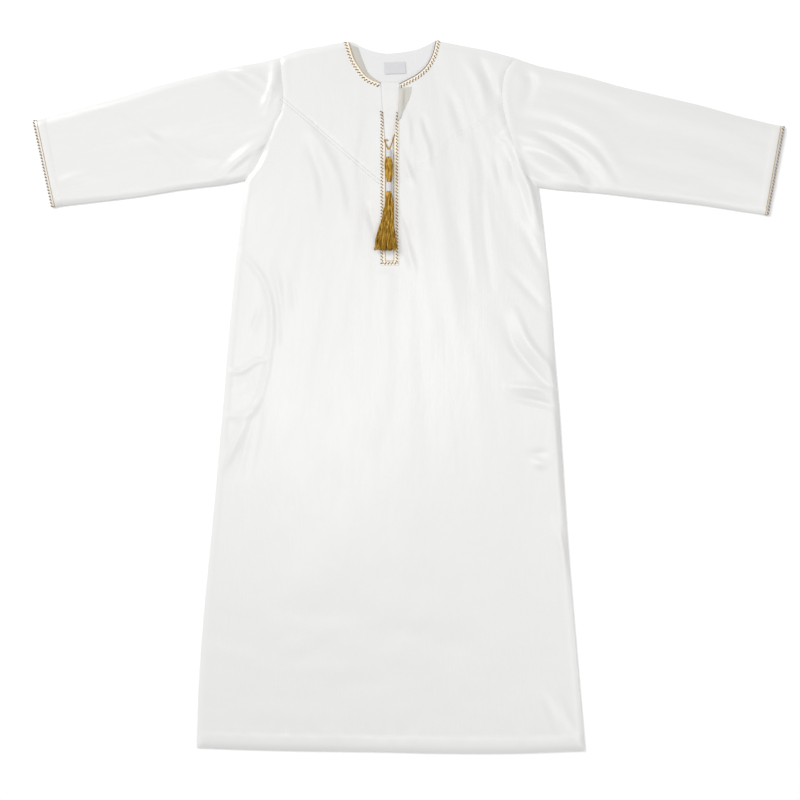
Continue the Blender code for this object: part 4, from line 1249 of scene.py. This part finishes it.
def build_facing():
    """The strip turned in at the neck, which falls from the front's edge to the inside of the back."""
    shares = np.linspace(0, 1, FACING_ROWS)
    inner = resample(smooth_path(FACING_INNER_EDGE, 1), shares=shares)
    neck = resample(smooth_path(RIGHT_NECK, 1), shares=FACING_START + FACING_SHARE * shares)
    outer = beside(neck, -0.2)
    low = BACK_TOP + FACING_GAP
    high = front_top(outer) - CLOTH - 0.15
    points = []
    for outside, within, top in zip(outer, inner, high):
        for t in np.linspace(0, 1, FACING_ACROSS):
            fall = low + (top - low) * (1 - t) ** 1.3 + FACING_ARCH * math.sin(math.pi * t)
            points.append((*(outside * (1 - t) + within * t), fall))
    points = np.array(points)
    count = len(points)
    points = np.vstack([points, points - [0, 0, LINING]])
    faces = []
    for row in range(FACING_ROWS - 1):
        for i in range(FACING_ACROSS - 1):
            a = row * FACING_ACROSS + i
            b = a + FACING_ACROSS
            faces += [(a, a + 1, b + 1), (a, b + 1, b)]
    faces = np.array(faces)
    all_faces = faces.tolist() + (faces[:, ::-1] + count).tolist() + rim_faces(faces, count)
    # Its darker colour is painted shade.
    facing = add_piece("neck_facing_cloth", points, all_faces, SHADED_FACING,
                       points[:, :2] * MM, ["neck_facing"])
    turn_outwards(facing.data)
    return facing


def build_neck():
    """What shows inside the neck: the facing, the underlap behind the slit and the plain label."""
    facing = build_facing()
    underlap = cloth_panel("underlap_cloth", UNDERLAP, 2.5, under_front, CLOTH, SATIN, ["underlap"])
    # The turned edge takes the facing's colour: painted shade at the slit's top.
    turn = cloth_panel("slit_turned_edge", SLIT_TURN, 1.5, turned_edge_bottom, LINING, SHADED_FACING)
    label = cloth_panel("label", LABEL[::-1], 2.0, lambda p: np.full(len(p), BACK_TOP + LABEL_GAP), LINING,
                        LABEL_CLOTH, ["neck_label"])
    return facing, underlap, turn, label


def slit_edges():
    """The slit's two edges as the placket follows them, from the placket's top down."""
    right = beside(smooth_path(SLIT_RIGHT_EDGE, LINE_STEP), 0.5)
    left = beside(smooth_path(SLIT_LEFT_EDGE, LINE_STEP), -0.5)
    right = right[right[:, 1] < PLACKET_TOP_Y]
    left = left[left[:, 1] < PLACKET_TOP_Y]
    right[-1, 1] -= 0.5
    left[-1, 1] -= 0.5
    return right, left


def build_placket():
    """The strip round the slit, its cream border, gold box and zigzag."""
    right, left = slit_edges()
    outer = [(PLACKET_RIGHT_X, PLACKET_TOP_Y), (PLACKET_RIGHT_X, PLACKET_BOTTOM_Y),
             (PLACKET_LEFT_X, PLACKET_BOTTOM_Y), (PLACKET_LEFT_X, PLACKET_TOP_Y)]
    loop = joined(straight_path(outer, LINE_STEP), left, right[::-1])
    placket = cloth_panel("placket_cloth", loop, LINE_STEP, lambda p: front_top(p) + PLACKET_GAP,
                          PLACKET_RISE - PLACKET_GAP, SATIN, ["placket"])
    box = [(BOX_LEFT_X - BORDER_GAP, BORDER_TOP_LEFT_Y), (BOX_LEFT_X - BORDER_GAP, BOX_BOTTOM_Y + 0.4),
           (BOX_RIGHT_X + BORDER_GAP, BOX_BOTTOM_Y + 0.4), (BOX_RIGHT_X + BORDER_GAP, BORDER_TOP_RIGHT_Y)]
    border_loop = joined(straight_path(PLACKET_BORDER, FINE_STEP), left[left[:, 1] > BORDER_TOP_LEFT_Y + 1],
                         straight_path(box, FINE_STEP), right[right[:, 1] > BORDER_TOP_RIGHT_Y + 1][::-1])
    border = cloth_panel("placket_border", border_loop, FINE_STEP,
                         lambda p: front_top(p) + PLACKET_RISE + BORDER_LIFT, BORDER, CREAM_BRAID)
    zigzag_line = on_front(straight_path(PLACKET_ZIGZAG, FINE_STEP), PLACKET_RISE + PLACKET_ZIGZAG_LIFT)
    zigzag = run_zigzag("placket_zigzag", zigzag_line)
    box_line = [(BOX_RIGHT_X, BOX_CORD_TOP_RIGHT_Y), (BOX_RIGHT_X, BOX_BOTTOM_Y),
                (BOX_LEFT_X, BOX_BOTTOM_Y), (BOX_LEFT_X, BOX_CORD_TOP_LEFT_Y)]
    cord_line = on_front(straight_path(box_line, FINE_STEP), PLACKET_RISE + PLACKET_CORD_LIFT)
    cord = run_recipe("placket_cord", CORD, [cord_line], GOLD_THREAD)
    edge = smooth_path(SLIT_LEFT_EDGE, FINE_STEP) + [0.35, 0]
    edge = edge[edge[:, 1] > EDGING_END_Y]
    lift = np.where(edge[:, 1] < PLACKET_TOP_Y, PLACKET_RISE + EDGING_LIFT, EDGING_LIFT)
    edging = run_recipe("slit_edging", CORD, [on_front(edge, lift)], GOLD_THREAD,
                        SLIT_CORD_SIZES)
    return placket, loop, [border, cord, edging] + zigzag


def build_neck_trim(side_name, neck, side):
    """The band along half the neckline, its cord and zigzag. side is 1 where the cloth is on the right."""
    line = smooth_path(neck, FINE_STEP)
    loop = joined(beside(line, side * NECK_BAND[0]), beside(line, side * NECK_BAND[1])[::-1])
    band = cloth_panel(side_name + "_neck_band", loop, 1.8, lambda p: front_top(p) + BAND_LIFT, BAND,
                       CREAM_BRAID, [side_name + "_neck_trim"])
    zigzag_line = on_front(beside(line, side * NECK_ZIGZAG_INSET), NECK_ZIGZAG_LIFT)
    zigzag = run_zigzag(side_name + "_neck_zigzag", zigzag_line)
    cord_line = on_front(beside(line, side * NECK_LINE_INSET), NECK_CORD_LIFT)
    # The left neck cord takes the dark gold: painted shadow along that edge of the neck.
    cord = run_recipe(side_name + "_neck_cord", CORD, [cord_line], GOLD_THREAD if side > 0 else PAINTED_SHADE_GOLD)
    return [band, cord] + zigzag


def build_cuff_trim(side_name, patch):
    """Gold cord and zigzag all round the sleeve's end, and the row of stitches of its hem."""
    zigzag = run_zigzag(side_name + "_cuff_zigzag", patch.ring_line(CUFF_ZIGZAG, CUFF_ZIGZAG_LIFT))
    cord = run_recipe(side_name + "_cuff_cord", CORD, [patch.ring_line(CUFF_LINE, CUFF_CORD_LIFT)],
                      GOLD_THREAD)
    stitches = run_recipe(side_name + "_cuff_stitches", STITCHES, [patch.ring_line(CUFF_HEM, 0.04)],
                          WRAP_THREAD, CUFF_STITCH_SIZES)
    return [cord, stitches] + zigzag


def build_stitches():
    """Rows of stitches: along the yoke and both hems, and inside the neck, down it and round its label."""
    rows = [on_front(beside(smooth_path(RIGHT_YOKE, LINE_STEP), -offset), 0.0) for offset in YOKE_ROWS]
    # The right yoke's stitches are painted grey: painted shade in that seam.
    front_rows = [run_recipe("right_yoke_stitches", STITCHES, rows, PAINTED_SHADE_THREAD)]
    hem = beside(smooth_path(HEM, 4), -HEM_DEPTH)[1:-1]
    rows = [on_front(beside(smooth_path(LEFT_YOKE, LINE_STEP), -offset), 0.0) for offset in YOKE_ROWS]
    rows.append(on_front(hem, 0.05))
    front_rows.append(run_recipe("front_stitches", STITCHES, rows, WRAP_THREAD))
    neck = beside(smooth_path(BACK_NECK, LINE_STEP), NECK_STITCH_INSET)[2:-2]
    seam = straight_path(INNER_SEAM, LINE_STEP)
    label = straight_path(LABEL + LABEL[:1], LINE_STEP) * LABEL_STITCH_SHARE
    label += np.mean(LABEL, axis=0) * (1 - LABEL_STITCH_SHARE)
    label_top = np.full(len(label), BACK_TOP + LABEL_GAP + LINING)
    rows = [under_back(hem, 0.08)]
    rows += [open_line(np.column_stack([line, back_bottom(line) + CLOTH])) for line in (neck, seam)]
    rows.append(open_line(np.column_stack([label, label_top])))
    back_rows = run_recipe("back_stitches", STITCHES, rows, WRAP_THREAD, BACK_STITCH_SIZES)
    return front_rows, back_rows


def build_back_neck():
    """The zigzag and cord carry on round the back of the neck, on the outer face of the back."""
    line = smooth_path(BACK_NECK, FINE_STEP)
    zigzag = run_zigzag("back_neck_zigzag", under_back(beside(line, NECK_ZIGZAG_INSET), 0.1),
                        BACK_ZIGZAG_THICKNESS)
    cord = run_recipe("back_neck_cord", CORD, [under_back(beside(line, BACK_LINE_INSET), 0.1)],
                      GOLD_THREAD, BACK_CORD_SIZES)
    return zigzag + [cord]


def section_at(sections, y):
    """Half width and half depth of the tassel at each y."""
    rows = smooth_path([tuple(s) for s in sections], 0.4)[::-1]
    return np.interp(y, rows[:, 0], rows[:, 1]), np.interp(y, rows[:, 0], rows[:, 2])


def round_form(name, sections, scale, material):
    """A closed round body of the tassel through its sections."""
    y = np.linspace(sections[0].y, sections[-1].y, ROUND_STATIONS)
    width, depth = section_at(sections, y)
    angles = np.linspace(0, math.tau, ROUND_SIDES, endpoint=False)
    points = []
    for place, half_width, half_depth in zip(y, width * scale, depth * scale):
        points += [(TASSEL_X + half_width * math.cos(a), place, AXIS_HEIGHT + half_depth * math.sin(a))
                   for a in angles]
    faces = []
    for ring in range(len(y) - 1):
        for i in range(ROUND_SIDES):
            a = ring * ROUND_SIDES + i
            b = ring * ROUND_SIDES + (i + 1) % ROUND_SIDES
            faces.append((a, b, b + ROUND_SIDES, a + ROUND_SIDES))
    faces.append(tuple(range(ROUND_SIDES - 1, -1, -1)))
    faces.append(tuple(range(len(points) - ROUND_SIDES, len(points))))
    piece = add_piece(name, points, faces, material)
    turn_outwards(piece.data)
    return piece


def around_tassel(width, y, depth, angle):
    """Points round the tassel's axis at half widths, half depths and angles."""
    return np.column_stack([TASSEL_X + width * np.cos(angle), y, AXIS_HEIGHT + depth * np.sin(angle)])


def wound_line(sections, pitch):
    """A thread wound round the tassel, as one line."""
    turns = (sections[0].y - sections[-1].y - 2 * WINDING_MARGIN) / pitch
    t = np.linspace(0, 1, round(turns * 16))
    y = sections[0].y - WINDING_MARGIN - t * turns * pitch
    width, depth = section_at(sections, y)
    return open_line(around_tassel(width, y, depth, t * turns * math.tau))


def ball_lines(count, share, wobble, points, random):
    """Strands that run down the ball over its surface, parted by a groove at the front."""
    lines = []
    t = np.linspace(0, 1, points)
    y = BALL[0].y - t * (BALL[0].y - BALL[-1].y)
    width, depth = section_at(BALL, y)
    for i in range(count):
        angle = math.tau * (i + random.uniform(-0.3, 0.3)) / count + BALL_TWIST * t
        angle += wobble * np.sin(math.tau * (t * random.uniform(0.8, 1.6) + random.random()))
        groove_at = math.pi / 2 + BALL_GROOVE_SWAY * np.sin(BALL_GROOVE_WAVE * t)
        off = (angle - groove_at + math.pi) % math.tau - math.pi
        groove = BALL_GROOVE_DEPTH * ridge(off, BALL_GROOVE_WIDTH)
        reach = share * (1 - groove * np.sin(math.pi * t))
        line = around_tassel(width * reach, y, depth * reach, angle)
        line[:, 0] += BALL_DRIFT * (t - 0.5)
        lines.append(open_line(line))
    return lines


def skirt_lines(random):
    """Loose strands of the skirt in wavy locks, with ragged ends."""
    levels = [(level.y, (level.right_x + level.left_x) / 2, (level.left_x - level.right_x) / 2,
               level.half_depth, level.lift) for level in SKIRT]
    rows = smooth_path(levels, 1.0)
    lines = []
    for lock in range(SKIRT_LOCKS):
        turn = lock * EVEN_TURN
        out = ((lock + 0.5) / SKIRT_LOCKS) ** 0.5
        wave = random.uniform(*LOCK_WAVES)
        phase = random.random()
        swing = random.uniform(*LOCK_SWING)
        end = 1 + random.uniform(*LOCK_END)
        for _ in range(LOCK_STRANDS):
            t = np.linspace(0, end + random.uniform(*STRAND_END), 20)
            at = resample(rows, shares=np.clip(t, 0, 1))
            y = at[:, 0] - np.clip(t - 1, 0, 1) * SKIRT_OVERRUN
            loose = np.clip(t * 1.6, 0, 1)
            off = random.normal(0, 1, 2) * (STRAND_SPREAD + STRAND_SPREAD_GAIN * t[:, None])
            sway = swing * np.sin(math.tau * (wave * t + phase)) * loose
            own_sway = random.uniform(*STRAND_SWAY)
            sway += own_sway * np.sin(math.tau * (wave * 1.3 * t + random.random())) * loose
            dip = LOCK_DIP * np.sin(math.tau * (wave * t * 0.8 + 2 * phase)) * loose
            x = at[:, 1] + (at[:, 2] - 0.7) * out * math.cos(turn) + off[:, 0] + sway
            z = TASSEL_REST + at[:, 4] + (at[:, 3] - 0.6) * out * math.sin(turn) + off[:, 1] * 0.8 + dip
            lines.append(open_line(np.column_stack([x, y, np.maximum(z, TASSEL_REST + 0.3)])))
    return lines


def knot_line():
    """The knot that ties the loop to the head of the tassel."""
    t = np.linspace(0, 1, 40)
    angle = t * math.tau * KNOT_TURNS
    x, y, z = KNOT_MIDDLE
    return open_line(np.column_stack([x + KNOT_HALF_WIDTH * np.cos(angle), y - KNOT_LENGTH * t,
                                      z + KNOT_HALF_DEPTH * np.sin(angle)]))


def build_tassel():
    """Cords tacked beside the slit, the knot, two white bindings, the ball and the loose skirt."""
    random = np.random.default_rng(SEED)
    tack = [open_line([(x, y, TACK_HEIGHT) for x in np.linspace(*TACK_ENDS, 12)]) for y in TACK_ROWS]
    run_recipe("tassel_cord", CORD, [open_line(smooth_path(LOOP_PATH, 0.6))], GOLD_SILK,
               TASSEL_CORD_SIZES, ["tassel_loop"])
    run_recipe("tassel_knot", STRANDS, [knot_line()], GOLD_SILK, KNOT_SIZES)
    run_recipe("tassel_tack", STRANDS, tack, GOLD_THREAD, TACK_SIZES)
    for name, sections in (("upper", UPPER_WRAP), ("lower", LOWER_WRAP)):
        round_form(f"tassel_{name}_core", sections, 0.97, WRAP_THREAD)
        run_recipe(f"tassel_{name}_winding", STRANDS, [wound_line(sections, WINDING_PITCH)], WRAP_THREAD,
                   WINDING_SIZES, [f"tassel_{name}_wrap"])
    round_form("tassel_ball_core", BALL, 0.72, GOLD_SILK)
    run_recipe("tassel_ball_plies", STRANDS, ball_lines(24, 0.84, 0.10, 14, random), GOLD_SILK,
               BALL_PLY_SIZES, ["tassel_ball"])
    run_recipe("tassel_ball_threads", STRANDS, ball_lines(110, 0.965, 0.16, 16, random), GOLD_SILK,
               BALL_THREAD_SIZES)
    round_form("tassel_skirt_core", SKIRT_CORE, 1.0, GOLD_SILK)
    run_recipe("tassel_skirt_strands", STRANDS, skirt_lines(random), GOLD_SILK,
               nodes=["tassel_skirt"])


def build_gown():
    """All the cloth with what is sewn to it; the areas of its sheets are worked out and not kept."""
    front, back, front_loop, back_loop = build_body()
    facing, underlap, turn, label = build_neck()
    placket, placket_loop, placket_trim = build_placket()
    neck_trim = build_neck_trim("right", RIGHT_NECK, 1) + build_neck_trim("left", LEFT_NECK, -1)
    front_rows, back_rows = build_stitches()
    loop_area(back_loop)
    build_back_neck() + [back_rows]
    loop_area(front_loop)
    neck_trim + front_rows + [turn]
    loop_area(placket_loop)
    loop_area(np.array(UNDERLAP))
    loop_area(np.array(LABEL))
    for side_name, patch in (("right", RIGHT_PATCH), ("left", LEFT_PATCH)):
        nodes = [side_name + "_sleeve", side_name + "_cuff_trim"]
        sleeve = build_sleeve(side_name + "_sleeve_cloth", patch, nodes)
        plan = joined(patch.armhole, patch.under, patch.top[::-1])
        2 * loop_area(plan)
        build_cuff_trim(side_name, patch)


def add_light(name, place, size, power):
    """A square light at a place, turned to the middle of the gown."""
    light = bpy.data.lights.new(name, "AREA")
    light.size = size
    light.energy = power
    thing = bpy.data.objects.new(name, light)
    thing.location = place
    thing.rotation_euler = (Vector((0, 0, 0)) - Vector(place)).to_track_quat("-Z", "Y").to_euler()
    bpy.context.collection.objects.link(thing)


def build_studio():
    """A plain pale floor under soft light: one large light from the upper left, a fill and one overhead."""
    mesh = bpy.data.meshes.new("floor")
    square = ((-1, -1), (1, -1), (1, 1), (-1, 1))
    corners = [(x * FLOOR_HALF, y * FLOOR_HALF, FLOOR_HEIGHT) for x, y in square]
    mesh.from_pydata(corners, [], [(0, 1, 2, 3)])
    mesh.materials.append(floor_finish())
    floor = bpy.data.objects.new("floor", mesh)
    bpy.context.collection.objects.link(floor)
    world = bpy.data.worlds.new("studio")
    bpy.context.scene.world = world
    world.use_nodes = True
    background = world.node_tree.nodes["Background"]
    background.inputs["Color"].default_value = (1.0, 1.0, 1.0, 1.0)
    background.inputs["Strength"].default_value = STUDIO_GLOW
    for name, (place, size, power) in LIGHTS.items():
        add_light(name, place, size, power)
    bpy.context.scene.view_settings.view_transform = "Standard"


def build_camera():
    """A long lens straight above the gown, with the photograph's frame."""
    camera = bpy.data.cameras.new("camera")
    camera.lens = LENS
    camera.sensor_width = SENSOR
    thing = bpy.data.objects.new("camera", camera)
    thing.location = (*FRAME_MIDDLE, FRAME_WIDTH * LENS / SENSOR + FLAT_HEIGHT * MM)
    bpy.context.collection.objects.link(thing)
    bpy.context.scene.camera = thing


build_gown()
build_tassel()
build_studio()
build_camera()
